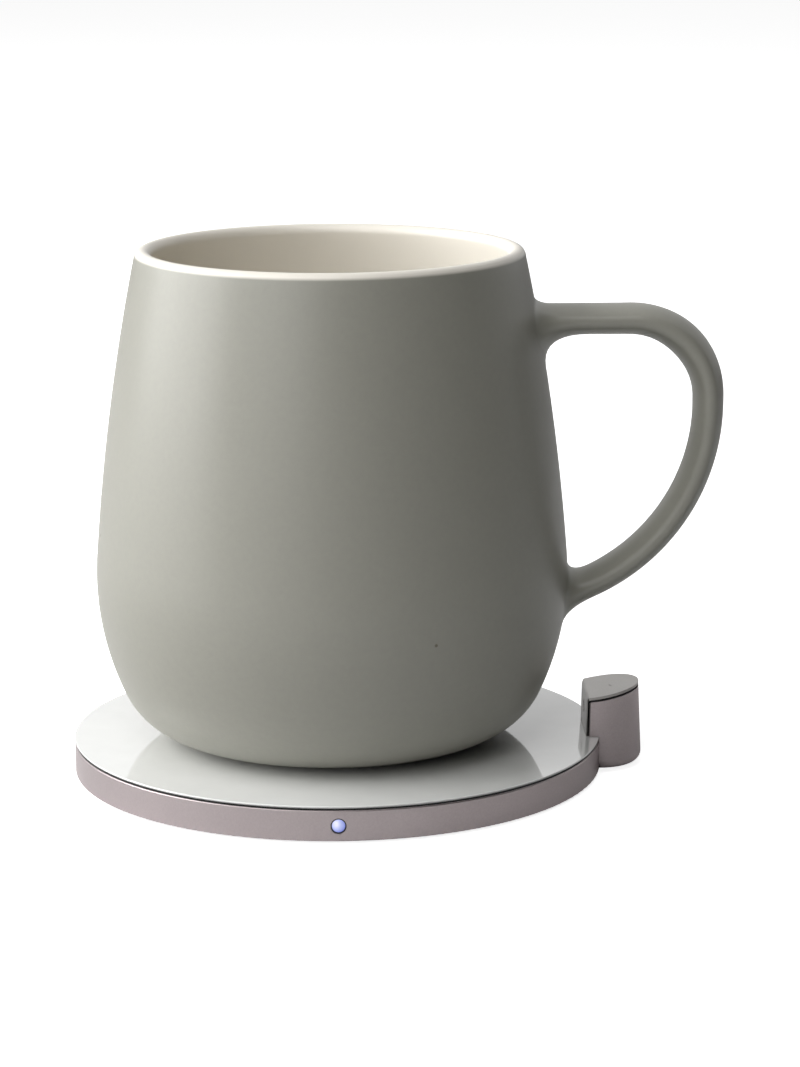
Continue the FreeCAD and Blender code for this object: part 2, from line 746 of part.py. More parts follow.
def lamp_led():
    """The side-looking lamp chip at the front edge of the circuit board."""
    body = new_body("lamp_led")
    face = new_sketch(body, "face", offset=BOARD_TOP)
    draw_box(face, "-lamp_chip_width / 2", f"-{BOARD_OUTER}", "lamp_chip_width / 2",
             f"lamp_chip_depth - {BOARD_OUTER}")
    pad(body, face, "lamp_chip_height")
    return body


def light_pipe():
    """The clear rod from the lamp chip to its dome in the front of the band."""
    body = new_body("light_pipe")
    section = new_sketch(body, "section", "YZ_Plane")
    back = f"-({BOARD_OUTER} + lamp_gap)"
    skirt = "-(base_radius - band_edge)"
    top = f"{PORT_LEVEL} + lamp_radius"
    ball = "((lamp_dome + band_edge) / 2 + lamp_radius ^ 2 / 2 / (lamp_dome + band_edge))"
    draw_run(section, [
        (back, PORT_LEVEL), (back, top), (skirt, top, ball), ("-(base_radius + lamp_dome)", PORT_LEVEL),
    ])
    spun = body.newObject("PartDesign::Revolution", "light_pipe_turned")
    spun.Profile = section
    axis = section.addGeometry(Part.LineSegment(FreeCAD.Vector(-1, value(PORT_LEVEL), 0),
                                                FreeCAD.Vector(1, value(PORT_LEVEL), 0)), True)
    section.addConstraint(Sketcher.Constraint("Horizontal", axis))
    dimension(section, "DistanceY", axis, 1, PORT_LEVEL)
    spun.ReferenceAxis = (section, ["Axis0"])
    spun.Angle = 360
    settle(body, spun)
    return body


def lamp_bezel():
    """The dark ring that lines the lamp's hole in the band."""
    body = new_body("lamp_bezel")
    front = "(base_radius - band_edge / 2)"
    face = new_sketch(body, "face", "XZ_Plane", front)
    draw_circle(face, "0", PORT_LEVEL, "lamp_radius + lamp_ring - screw_play")
    draw_circle(face, "0", PORT_LEVEL, "lamp_radius + screw_play / 2")
    pad(body, face, "band_wall", "against")
    return body


def inlet_shell():
    """The folded steel shell of the power inlet, with its closed back."""
    body = new_body("inlet_shell")
    mouth = "-(base_radius - inlet_inset)"
    outer = new_sketch(body, "outer", "XZ_Plane", mouth)
    draw_slot(outer, PORT_LEVEL, "inlet_width", "inlet_height")
    pad(body, outer, "inlet_depth")
    inner = new_sketch(body, "inner", "XZ_Plane", mouth)
    draw_slot(inner, PORT_LEVEL, "inlet_width - 2 * inlet_wall", "inlet_height - 2 * inlet_wall")
    pocket(body, inner, "inlet_depth - inlet_wall")
    return body


def inlet_tongue():
    """The inlet's black insert with its contact tongue."""
    body = new_body("inlet_tongue")
    rear = "-(base_radius - inlet_inset - inlet_depth + inlet_wall)"
    block = new_sketch(body, "block", "XZ_Plane", rear)
    draw_slot(block, PORT_LEVEL, "inlet_width - 2 * inlet_wall - 2 * screw_play",
              "inlet_height - 2 * inlet_wall - 2 * screw_play")
    pad(body, block, "inlet_back", "against")
    tongue = new_sketch(body, "tongue", "XZ_Plane", rear)
    draw_box(tongue, "-tongue_width / 2", f"{PORT_LEVEL} - tongue_thickness / 2", "tongue_width / 2",
             f"{PORT_LEVEL} + tongue_thickness / 2")
    pad(body, tongue, "inlet_depth - inlet_wall - tongue_setback", "against")
    return body


def tower_slope():
    """How far the tower's top rises for each millimetre outward."""
    return value("(tower_high - tower_low) / (tower_face_inset + tower_radius)")


def tower_line(depth):
    """The tower's bent outline at a depth under its skin: face, bend start, bend end and radius."""
    slope = tower_slope()
    lean = math.atan(slope)
    face = value(FACE_X) + depth
    corner = value(f"{PLATE_TOP} + tower_low") + depth * slope - depth / math.cos(lean)
    radius = max(value("tower_bend") - depth, value("tower_least_bend"))
    tangent = radius * math.tan((math.pi / 2 - lean) / 2)
    bend_end = (face + tangent * math.cos(lean), corner + tangent * math.sin(lean))
    return face, corner - tangent, bend_end, radius


def draw_tower_line(sketch, depth, above):
    """Draws the region above the tower's bent outline, or the region that it shelters."""
    face, bend_start, bend_end, radius = tower_line(depth)
    spare = value("cut_spare")
    far = value(NOSE_X) + spare
    far_top = bend_end[1] + (far - bend_end[0]) * tower_slope()
    run = [(face, bend_start, -radius), bend_end, (far, far_top)]
    if above:
        loft = value(TOWER_LOFT) + spare
        run += [(far, loft), (face - spare, loft), (face - spare, bend_start)]
    else:
        run += [(far, 0), (face, 0)]
    return draw_run(sketch, [tuple(f"{number:.9g}" for number in corner) for corner in run])


def draw_tower_plan(sketch, face, radius, corner):
    """Draws the tower's plan: a circle on the base's rim, cut flat on the side of the mug."""
    middle = value("base_radius")
    inner = radius - corner
    side = math.sqrt(inner ** 2 - (face + corner - middle) ** 2)
    touch_x = middle + (face + corner - middle) * radius / inner
    touch_y = side * radius / inner
    run = [
        (face, -side, corner), (touch_x, -touch_y, radius), (middle + radius, 0, radius),
        (touch_x, touch_y, corner), (face, side),
    ]
    return draw_run(sketch, [tuple(f"{number:.9g}" for number in place) for place in run])


def tower_shell():
    """The tower's curved shell: it stands on the table outside the band and steps over the plate."""
    body = new_body("tower_shell")
    depth = value("tower_cover + tower_gasket")
    plan = new_sketch(body, "plan", offset="tower_foot")
    draw_tower_plan(plan, value(FACE_X) + depth, value("tower_radius"),
                    value("tower_shell_corner"))
    pad(body, plan, f"{TOWER_LOFT} - tower_foot")
    fillet(body, lambda edge: on_level(edge, value("tower_foot")), "tower_foot_round")
    hollow = draw_circle(new_sketch(body, "hollow", offset=TOWER_FLOOR), "base_radius", "0",
                         "tower_radius - tower_wall")
    pocket(body, hollow, f"{TOWER_LOFT} + cut_spare - {TOWER_FLOOR}")
    start = "(tower_foot + tower_floor / 2)"
    lug = new_sketch(body, "lug", offset=start)
    draw_box(lug, "base_radius - tower_gap", "lug_inner", "base_radius + lug_reach", "lug_outer")
    grown = pad(body, lug, f"{TOWER_FLOOR} + lug_height - {start}")
    tap = draw_circle(new_sketch(body, "lug_tap", "YZ_Plane", "base_radius - tower_gap"), "side_screw_spread",
                      PORT_LEVEL, "side_screw_radius + screw_play")
    tapped = pocket(body, tap, "lug_reach")
    both_sides(body, [grown, tapped])
    post = draw_circle(new_sketch(body, "post", offset=start), POST_X, "0", "post_radius")
    pad(body, post, f"{TOWER_FLOOR} + post_height - {start}")
    bore = draw_circle(new_sketch(body, "post_bore", offset="0"), POST_X, "0",
                       "post_screw_radius + 2 * screw_play")
    pocket(body, bore, f"{TOWER_FLOOR} + post_height")
    sink = draw_circle(new_sketch(body, "post_sink", offset="tower_foot"), POST_X, "0",
                       "post_screw_head + 2 * screw_play")
    pocket(body, sink, "post_screw_recess")
    top = draw_tower_line(new_sketch(body, "top", "XZ_Plane"), depth, True)
    pocket(body, top, "4 * tower_radius", "both")
    base = draw_circle(new_sketch(body, "base_clearance", offset="0"), "0", "0", "base_radius + tower_gap")
    pocket(body, base, TOWER_SEAT)
    return body


def tower_layer(name, face_depth, thickness, radius, corner):
    """One bent layer of the tower, from its flat face over its top, trimmed to the tower's plan."""
    body = new_body(name)
    plan = new_sketch(body, "plan", offset=TOWER_SEAT)
    draw_tower_plan(plan, value(FACE_X) + face_depth, radius, corner)
    pad(body, plan, f"{TOWER_LOFT} - {TOWER_SEAT}")
    above = draw_tower_line(new_sketch(body, "above", "XZ_Plane"), face_depth, True)
    pocket(body, above, "4 * tower_radius", "both")
    under = draw_tower_line(new_sketch(body, "under", "XZ_Plane"), face_depth + thickness, False)
    pocket(body, under, "4 * tower_radius", "both")
    return body


def tower_cover():
    """The bent cover: the tower's flat face and sloping top in one piece, with its inner bosses."""
    body = tower_layer("tower_cover", 0.0, value("tower_cover"), value("tower_radius"),
                       value("tower_corner"))
    window = draw_circle(new_sketch(body, "window_hole", "YZ_Plane", FACE_X), "0", WINDOW_LEVEL,
                         "window_radius + window_play")
    pocket(body, window, "tower_cover")
    start = f"({FACE_X} + tower_cover / 2)"
    centre = ("sensor_screw_spread", SENSOR_SCREW_LEVEL)
    boss = draw_circle(new_sketch(body, "sensor_boss", "YZ_Plane", start), *centre, "sensor_boss_radius")
    grown = pad(body, boss, f"{SENSOR_BOARD_X} - {start}")
    depth = "(sensor_screw_length - sensor_board_thickness)"
    tap = draw_circle(new_sketch(body, "sensor_tap", "YZ_Plane", f"{SENSOR_BOARD_X} - {depth}"), *centre,
                      "sensor_screw_radius + screw_play")
    tapped = pocket(body, tap, depth)
    both_sides(body, [grown, tapped])
    foot = f"({TOWER_FLOOR} + post_height + tower_lift)"
    rise = "(tower_high - tower_low) / (tower_face_inset + tower_radius)"
    slab = f"({PLATE_TOP} + tower_low + (tower_face_inset + post_reach) * {rise} - tower_cover / 2)"
    post = draw_circle(new_sketch(body, "post", offset=foot), POST_X, "0", "post_radius")
    pad(body, post, f"{slab} - {foot}")
    tap = draw_circle(new_sketch(body, "post_tap", offset=foot), POST_X, "0",
                      "post_screw_radius + screw_play")
    pocket(body, tap, f"{slab} - tower_cover - {foot}")
    return body


def tower_gasket():
    """The dark seal between the bent cover and the shell, which shows as the tower's seam."""
    radius = value("tower_radius - tower_gasket_setback")
    body = tower_layer("tower_gasket", value("tower_cover"), value("tower_gasket"), radius,
                       value("tower_gasket_corner"))
    core = draw_circle(new_sketch(body, "core", offset="foot_proud"), "base_radius", "0",
                       "tower_radius - tower_gasket_setback - tower_gasket_width")
    pocket(body, core, TOWER_LOFT)
    return body


def tower_screws():
    """The two screws that hold the tower to the band, driven from inside the base."""
    body = new_body("tower_screws")
    bearing = f"sqrt({BAND_BORE} ^ 2 - (side_screw_spread + side_screw_head) ^ 2)"
    pieces = screw(body, "one", ("side_screw_spread", PORT_LEVEL), bearing,
                   ("side_screw_radius", "side_screw_length"),
                   ("side_screw_head", "side_screw_head_depth"), axis="YZ_Plane")
    both_sides(body, pieces)
    return body


def tower_post_screw():
    """The screw up through the tower's foot that pulls the bent cover down."""
    body = new_body("tower_post_screw")
    screw(body, "one", (POST_X, "0"), "tower_foot + post_screw_recess",
          ("post_screw_radius", "post_screw_length"), ("post_screw_head", "post_screw_head_depth"))
    return body


def sensor_window():
    """The dark window in the tower's flat face."""
    body = new_body("sensor_window")
    face = draw_circle(new_sketch(body, "face", "YZ_Plane", f"{FACE_X} + window_inset"), "0", WINDOW_LEVEL,
                       "window_radius")
    pad(body, face, "tower_cover - window_inset")
    return body


def sensor_head():
    """The optical sensor behind the window."""
    body = new_body("sensor_head")
    nose = f"({COVER_BACK} + sensor_nose_gap)"
    block = new_sketch(body, "block", "YZ_Plane", f"{nose} + sensor_nose_length")
    half = "sensor_side / 2"
    draw_box(block, f"-{half}", f"{WINDOW_LEVEL} - {half}", half, f"{WINDOW_LEVEL} + {half}")
    pad(body, block, f"{SENSOR_BOARD_X} - {nose} - sensor_nose_length")
    tip = draw_circle(new_sketch(body, "tip", "YZ_Plane", nose), "0", WINDOW_LEVEL, "sensor_nose")
    pad(body, tip, "sensor_nose_length")
    return body


def sensor_board():
    """The small upright circuit board in the tower."""
    body = new_body("sensor_board")
    face = new_sketch(body, "face", "YZ_Plane", SENSOR_BOARD_X)
    draw_box(face, "-sensor_board_width / 2", SENSOR_BOARD_FOOT, "sensor_board_width / 2",
             f"{SENSOR_BOARD_FOOT} + sensor_board_height")
    for side in ("", "-"):
        draw_circle(face, f"{side}sensor_screw_spread", SENSOR_SCREW_LEVEL,
                    "sensor_screw_radius + screw_play")
    pad(body, face, "sensor_board_thickness")
    return body


def sensor_board_screws():
    """The two screws that hold the sensor's board to the bent cover."""
    body = new_body("sensor_board_screws")
    pieces = screw(body, "one", ("sensor_screw_spread", SENSOR_SCREW_LEVEL), SENSOR_BOARD_BACK,
                   ("sensor_screw_radius", "sensor_screw_length"),
                   ("sensor_screw_head", "sensor_screw_head_depth"), axis="YZ_Plane", head_first=False)
    both_sides(body, pieces)
    return body


def sensor_flex():
    """The ribbon from the sensor's board, down the tower and through the band to its socket."""
    body = new_body("sensor_flex")
    section = new_sketch(body, "section", "XZ_Plane")
    front = SENSOR_BOARD_BACK
    back = f"({front} + flex_thickness)"
    under = FLEX_LEVEL
    over = f"({under} + flex_thickness)"
    start = f"({BOARD_OUTER} - flex_connector_inset - flex_connector_depth)"
    top = f"{SENSOR_BOARD_FOOT} + flex_lap"
    draw_run(section, [
        (start, under), (f"{back} - flex_bend - flex_thickness", under, "flex_bend + flex_thickness"),
        (back, f"{under} + flex_bend + flex_thickness"), (back, top), (front, top),
        (front, f"{over} + flex_bend", "-flex_bend"), (f"{front} - flex_bend", over), (start, over),
    ])
    pad(body, section, "flex_width", "both")
    return body


def circles_meet(first, first_radius, second, second_radius, upper):
    """Where two circles cross: the upper or the lower of the two places."""
    apart = second - first
    along = (first_radius ** 2 - second_radius ** 2 + apart.Length ** 2) / 2 / apart.Length
    aside = math.sqrt(max(first_radius ** 2 - along ** 2, 0))
    ahead = apart.normalize()
    normal = FreeCAD.Vector(-ahead.y, ahead.x, 0)
    middle = first + ahead * along
    places = sorted((middle + normal * aside, middle - normal * aside), key=lambda place: place.y)
    return places[1] if upper else places[0]


def mug_curves():
    """The centres and radii of the mug's three arcs, heel to rim, and the centre of the rim's round."""
    floor = value(PLATE_TOP)
    belly_curve, upper_curve, side_curve = value("belly_curve"), value("upper_curve"), value("side_curve")
    belly = FreeCAD.Vector(value("belly_radius") - belly_curve, floor + value("belly_height"), 0)
    half_wall = value("mug_wall") / 2
    lip = FreeCAD.Vector(value("rim_radius"), floor + value("mug_height") - half_wall, 0)
    upper = circles_meet(belly, upper_curve - belly_curve, lip, upper_curve, True)
    rim_x = upper.x + math.sqrt((upper_curve - half_wall) ** 2 - (lip.y - upper.y) ** 2)
    drop = floor + value("mug_foot_height") + side_curve - belly.y
    side = belly + FreeCAD.Vector(math.sqrt((belly_curve - side_curve) ** 2 - drop ** 2), drop, 0)
    return {
        "side": (side, side_curve), "belly": (belly, belly_curve), "upper": (upper, upper_curve),
        "rim": FreeCAD.Vector(rim_x, lip.y, 0),
    }


def mug_skin(curves, proud=0.0):
    """The mug's outer line from its foot to its rim, or one that stands proud of it."""
    side, side_curve = curves["side"]
    belly, belly_curve = curves["belly"]
    upper, upper_curve = curves["upper"]
    rim = curves["rim"]
    return [
        (side - FreeCAD.Vector(0, side_curve + proud, 0), side_curve + proud),
        (side + (side - belly).normalize() * (side_curve + proud), belly_curve + proud),
        (belly + (belly - upper).normalize() * (belly_curve + proud), upper_curve + proud),
        (rim + (rim - upper).normalize() * (value("mug_wall") / 2 + proud), None),
    ]


def mug_lining(curves):
    """The mug's inner line from its rim to its floor, one wall inside the skin."""
    wall = value("mug_wall")
    side, side_curve = curves["side"]
    belly, belly_curve = curves["belly"]
    upper, upper_curve = curves["upper"]
    rim = curves["rim"]
    return [
        (rim - (rim - upper).normalize() * wall / 2, wall - upper_curve),
        (belly + (belly - upper).normalize() * (belly_curve - wall), wall - belly_curve),
        (side + (side - belly).normalize() * (side_curve - wall), wall - side_curve),
        (side - FreeCAD.Vector(0, side_curve - wall, 0), None),
    ]


def placed_corners(line):
    """Points and radii as corners for draw_run."""
    corners = []
    for place, bend in line:
        corner = (f"{place.x:.9g}", f"{place.y:.9g}")
        corners.append(corner + ((f"{bend:.9g}",) if bend else ()))
    return corners


def mug_body():
    """The mug's turned stoneware wall: foot ring, full belly and rounded rim."""
    curves = mug_curves()
    half_wall = value("mug_wall") / 2
    skin = mug_skin(curves)
    skin[-1] = (skin[-1][0], half_wall)
    crown = (curves["rim"] + FreeCAD.Vector(0, half_wall, 0), half_wall)
    recess = "mug_foot_radius - mug_foot_width"
    ceiling = f"{PLATE_TOP} + mug_recess"
    return turn_body("mug_body", [
        ("0", ceiling), (recess, ceiling), (recess, PLATE_TOP), ("mug_foot_radius", PLATE_TOP),
        ("mug_foot_radius", f"{PLATE_TOP} + mug_foot_height"),
        *placed_corners(skin + [crown] + mug_lining(curves)),
        ("0", f"{PLATE_TOP} + mug_foot_height + mug_wall"),
    ])


def mug_handle():
    """The mug's handle, swept between two roots that spread over the wall and end on it."""
    curves = mug_curves()
    skin = mug_skin(curves)
    top = f"{skin[-1][0].y:.9g}"
    body = turn_body("mug_handle", [
        ("0", f"{PLATE_TOP} + mug_foot_height"), *placed_corners(skin), ("0", top),
    ])
    sweep_handle(body, curves)
    near = value("belly_radius + handle_fillet")
    wide = value("handle_width")

    def at_root(edge):
        box = edge.BoundBox
        return 0 < box.XMin and box.XMax < near and wide / 20 < box.YLength < wide and box.YMax < wide

    fillet(body, at_root, "handle_fillet")
    wall = placed_corners(mug_skin(curves, value("handle_joint")))
    section = draw_run(new_sketch(body, "wall", "XZ_Plane"), [
        ("0", f"{PLATE_TOP} - cut_spare"), (wall[0][0], f"{PLATE_TOP} - cut_spare"), *wall,
        (wall[-1][0], f"{top} + cut_spare"), ("0", f"{top} + cut_spare"),
    ])
    groove = body.newObject("PartDesign::Groove", "mug_handle_wall_cut")
    groove.Profile = section
    groove.ReferenceAxis = (section, ["V_Axis"])
    groove.Angle = 360
    settle(body, groove)
    return body


def sweep_handle(body, curves):
    """Sweeps the handle's rounded section out level, round its knuckle and down into the wall."""
    embed = value("handle_embed")
    upper, upper_curve = curves["upper"]
    belly, belly_curve = curves["belly"]
    level = value(f"{PLATE_TOP} + handle_height")
    reach, knuckle, sweep = value("handle_reach"), value("handle_knuckle"), value("handle_sweep")
    root = upper.x + math.sqrt((upper_curve - embed) ** 2 - (level - upper.y) ** 2)
    centre = FreeCAD.Vector(reach - sweep, level - knuckle, 0)
    tail = circles_meet(belly, belly_curve - embed, centre, sweep, False)
    route = new_sketch(body, "route", "XZ_Plane")
    height = f"({PLATE_TOP} + handle_height)"
    draw_run(route, [
        (f"{root:.9g}", height), ("handle_reach - handle_knuckle", height, "-handle_knuckle"),
        ("handle_reach", f"{height} - handle_knuckle", "-handle_sweep"), (f"{tail.x:.9g}", f"{tail.y:.9g}"),
    ], closed=False)
    half_width, half_depth, edge = (value(text) for text in (
        "handle_width / 2", "handle_thickness / 2", "handle_side"))
    crown = ((half_width - edge) ** 2 + half_depth ** 2 - edge ** 2) / 2 / (half_depth - edge)
    lean = math.atan2(half_width - edge, crown - half_depth)
    touch_x = crown * math.sin(lean)
    touch_z = crown * math.cos(lean) - (crown - half_depth)
    section = new_sketch(body, "section", "YZ_Plane", f"{root:.9g}")
    draw_run(section, [
        tuple(f"{number:.9g}" for number in place) for place in (
            (-touch_x, level - touch_z, crown), (touch_x, level - touch_z, edge), (half_width, level, edge),
            (touch_x, level + touch_z, crown), (-touch_x, level + touch_z, edge), (-half_width, level, edge),
        )
    ])
    pipe = body.newObject("PartDesign::AdditivePipe", "mug_handle_pipe")
    pipe.Profile = section
    pipe.Spine = route
    settle(body, pipe)


def build():
    """Makes every piece in the order in which the object is put together."""
    return [
        foot_ring(),
        bottom_cover(),
        side_ring(),
        coil_tray(),
        ring_body("ferrite_plate", "ferrite_hole", "ferrite_radius", TRAY_TOP, FERRITE_TOP),
        transmitter_coil(),
        coil_leads(),
        ring_body("mica_sheet", "ferrite_hole", "coil_outer", COIL_TOP, f"({COIL_TOP} + mica_thickness)"),
        ring_body("thermistor_post", None, "thermistor_post_radius", TRAY_TOP, POST_TOP),
        ring_body("plate_thermistor", None, "thermistor_radius", POST_TOP,
                  f"({GLASS_UNDER} - screw_play)"),
        main_board(),
        board_screws(),
        fanned_blocks("power_chips", CHIP_CIRCLE, "-chip_step_angle", "chip_step_angle", "chip_count",
                      "chip_side", "chip_side", "chip_height"),
        fanned_blocks("tank_capacitors", f"({BOARD_MIDDLE} - capacitor_inset)", "capacitor_first_angle",
                      "capacitor_step_angle", "capacitor_count", "capacitor_length", "capacitor_width",
                      "capacitor_height"),
        filter_inductor(),
        flex_connector(),
        lamp_led(),
        light_pipe(),
        lamp_bezel(),
        inlet_shell(),
        inlet_tongue(),
        top_deck(),
        cover_screws(),
        glass_bond(),
        glass_plate(),
        tower_shell(),
        tower_gasket(),
        tower_cover(),
        sensor_window(),
        sensor_head(),
        sensor_board(),
        sensor_board_screws(),
        sensor_flex(),
        tower_screws(),
        tower_post_screw(),
        mug_body(),
        mug_handle(),
        ring_body("heater_film", None, "mug_foot_radius - mug_foot_width - film_play",
                  f"({PLATE_TOP} + mug_recess - film_thickness)", f"({PLATE_TOP} + mug_recess)"),
    ]


pieces = build()
doc.recompute()
for thing in doc.Objects:
    if "Invalid" in thing.State or "Error" in thing.State:
        raise RuntimeError(f"{thing.Name} failed: {thing.State}")
for piece in pieces:
    if piece.Shape.isNull() or not piece.Shape.isValid() or not piece.Shape.Solids:
        raise RuntimeError(f"{piece.Label} has no sound shape")
for piece in pieces:
    piece.Shape.exportStep(f"parts/{piece.Label}.step")
    print(f"{piece.Label}: {len(piece.Shape.Solids)} solid(s), {piece.Shape.Volume:.1f} mm3")
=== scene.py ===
"""The looks of an electric mug warmer and its stoneware mug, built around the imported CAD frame.

Lengths are given in millimetres and turned to metres where a mesh is made. The origin is the
centre of the base's footprint, +Z is up, +X runs through the tower and the mug's handle, and -Y
is the front, where the lamp is.
"""
import logging
import math
from collections.abc import Callable, Iterator, Mapping, Sequence
from contextlib import contextmanager
from dataclasses import dataclass, field
from enum import Enum

import bmesh
import bpy
import numpy as np
from mathutils import Matrix, Vector
from mathutils.geometry import delaunay_2d_cdt

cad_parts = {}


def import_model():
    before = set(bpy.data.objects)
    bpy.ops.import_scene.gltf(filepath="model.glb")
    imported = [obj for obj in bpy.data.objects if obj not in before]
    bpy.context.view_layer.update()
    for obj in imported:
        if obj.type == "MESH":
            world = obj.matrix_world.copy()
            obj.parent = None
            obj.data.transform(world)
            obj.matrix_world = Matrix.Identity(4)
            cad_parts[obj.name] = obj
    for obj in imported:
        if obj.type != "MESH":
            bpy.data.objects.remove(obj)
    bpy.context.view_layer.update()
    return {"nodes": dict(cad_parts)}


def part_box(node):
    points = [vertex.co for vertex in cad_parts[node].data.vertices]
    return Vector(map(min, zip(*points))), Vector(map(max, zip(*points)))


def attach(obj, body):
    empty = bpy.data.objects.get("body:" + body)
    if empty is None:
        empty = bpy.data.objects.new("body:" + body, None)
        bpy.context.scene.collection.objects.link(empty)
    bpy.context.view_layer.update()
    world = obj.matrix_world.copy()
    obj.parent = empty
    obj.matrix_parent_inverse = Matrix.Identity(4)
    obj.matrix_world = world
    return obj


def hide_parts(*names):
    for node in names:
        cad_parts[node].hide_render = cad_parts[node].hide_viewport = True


LOG = logging.getLogger("mug_warmer")
MM = 0.001
# Points nearer than this are one point, in the unit of the mesh or plan at hand
WELD = 1e-6
# Two faces that meet at more than this angle make an edge, in radians
SHARP = math.radians(35)
# A wave texture runs through this many radians in one unit of its coordinates
WAVE_TURNS = 20.0
# Noise keeps to this span of 0 to 1 nearly everywhere
NOISE_SPAN = (0.3, 0.7)
# So many halvings of a distance leave less of it than matters
HALVINGS = 50
Point = tuple[float, float]
Place = tuple[float, float, float]


class Body(Enum):
    """The two CAD bodies that pieces ride on."""

    WARMER = "warmer"
    MUG = "mug"


class Pattern(Enum):
    """The kinds of fine pattern that a finish can carry."""

    GRAIN = "grain"
    DRAWN = "drawn"
    CELLS = "cells"
    WEAVE = "weave"
    TURNED = "turned"
    WOUND = "wound"


def linear(code: str) -> tuple[float, float, float, float]:
    """Turns an sRGB hex colour into the linear colour that shaders take.

    Args:
        code: Six hex digits after a hash sign.

    Returns:
        Red, green, blue and an alpha of 1.
    """
    parts = [int(code[place:place + 2], 16) / 255 for place in (1, 3, 5)]
    red, green, blue = (part / 12.92 if part <= 0.04045 else ((part + 0.055) / 1.055) ** 2.4
                        for part in parts)
    return red, green, blue, 1.0


def add_node(tree: bpy.types.NodeTree, kind: str, settings: Mapping | None = None,
             links: Mapping | None = None) -> bpy.types.Node:
    """Adds a shader node with its settings and links.

    Args:
        tree: The node tree that gets the node.
        kind: The node's type name.
        settings: Values by option name, input name or input number.
        links: Output sockets by the name or number of the input that they feed.

    Returns:
        The new node.
    """
    node = tree.nodes.new(kind)
    for key, value in (settings or {}).items():
        if isinstance(key, str) and hasattr(node, key):
            setattr(node, key, value)
        else:
            node.inputs[key].default_value = value
    for key, socket in (links or {}).items():
        tree.links.new(socket, node.inputs[key])
    return node


def ramp(tree: bpy.types.NodeTree, factor: bpy.types.NodeSocket,
         stops: Sequence[tuple[float, str]]) -> bpy.types.NodeSocket:
    """Turns a factor into a colour through a row of stops.

    Args:
        tree: The node tree that gets the ramp.
        factor: The socket that drives it.
        stops: Places from 0 to 1 and their sRGB hex colours.

    Returns:
        The ramp's colour socket.
    """
    node = add_node(tree, "ShaderNodeValToRGB", links={"Fac": factor})
    while len(node.color_ramp.elements) < len(stops):
        node.color_ramp.elements.new(0.5)
    for element, (place, code) in zip(node.color_ramp.elements, stops):
        element.position = place
        element.color = linear(code)
    return node.outputs["Color"]


def remap(tree: bpy.types.NodeTree, value: bpy.types.NodeSocket, source: Point = (0.0, 1.0),
          target: Point = (0.0, 1.0)) -> bpy.types.NodeSocket:
    """Maps a value from one range to another, and stops at its ends."""
    names = ("From Min", "From Max", "To Min", "To Max")
    return add_node(tree, "ShaderNodeMapRange", dict(zip(names, source + target)),
                    {"Value": value}).outputs["Result"]


def blend(tree: bpy.types.NodeTree, factor: bpy.types.NodeSocket, low: str | bpy.types.NodeSocket,
          high: str | bpy.types.NodeSocket) -> bpy.types.NodeSocket:
    """Mixes two colours.

    Args:
        tree: The node tree that gets the mix.
        factor: The share of the second colour.
        low: The first colour, as an sRGB hex code or a socket.
        high: The second one, likewise.

    Returns:
        The mixed colour's socket.
    """
    tones = {6: low, 7: high}
    codes = {number: linear(tone) for number, tone in tones.items() if isinstance(tone, str)}
    links = {number: tone for number, tone in tones.items() if not isinstance(tone, str)}
    return add_node(tree, "ShaderNodeMix", {"data_type": "RGBA"} | codes, {0: factor} | links).outputs[2]


def fresh_tree(owner: bpy.types.Material | bpy.types.World) -> bpy.types.NodeTree:
    """Gives a material or world an empty node tree.

    Args:
        owner: The material or world.

    Returns:
        The tree.
    """
    owner.use_nodes = True
    owner.node_tree.nodes.clear()
    return owner.node_tree


def add_object(name: str, data: bpy.types.ID) -> bpy.types.Object:
    """Puts an object into the scene.

    Args:
        name: Its name.
        data: Its mesh, light or camera.

    Returns:
        The object.
    """
    added = bpy.data.objects.new(name, data)
    bpy.context.scene.collection.objects.link(added)
    return added


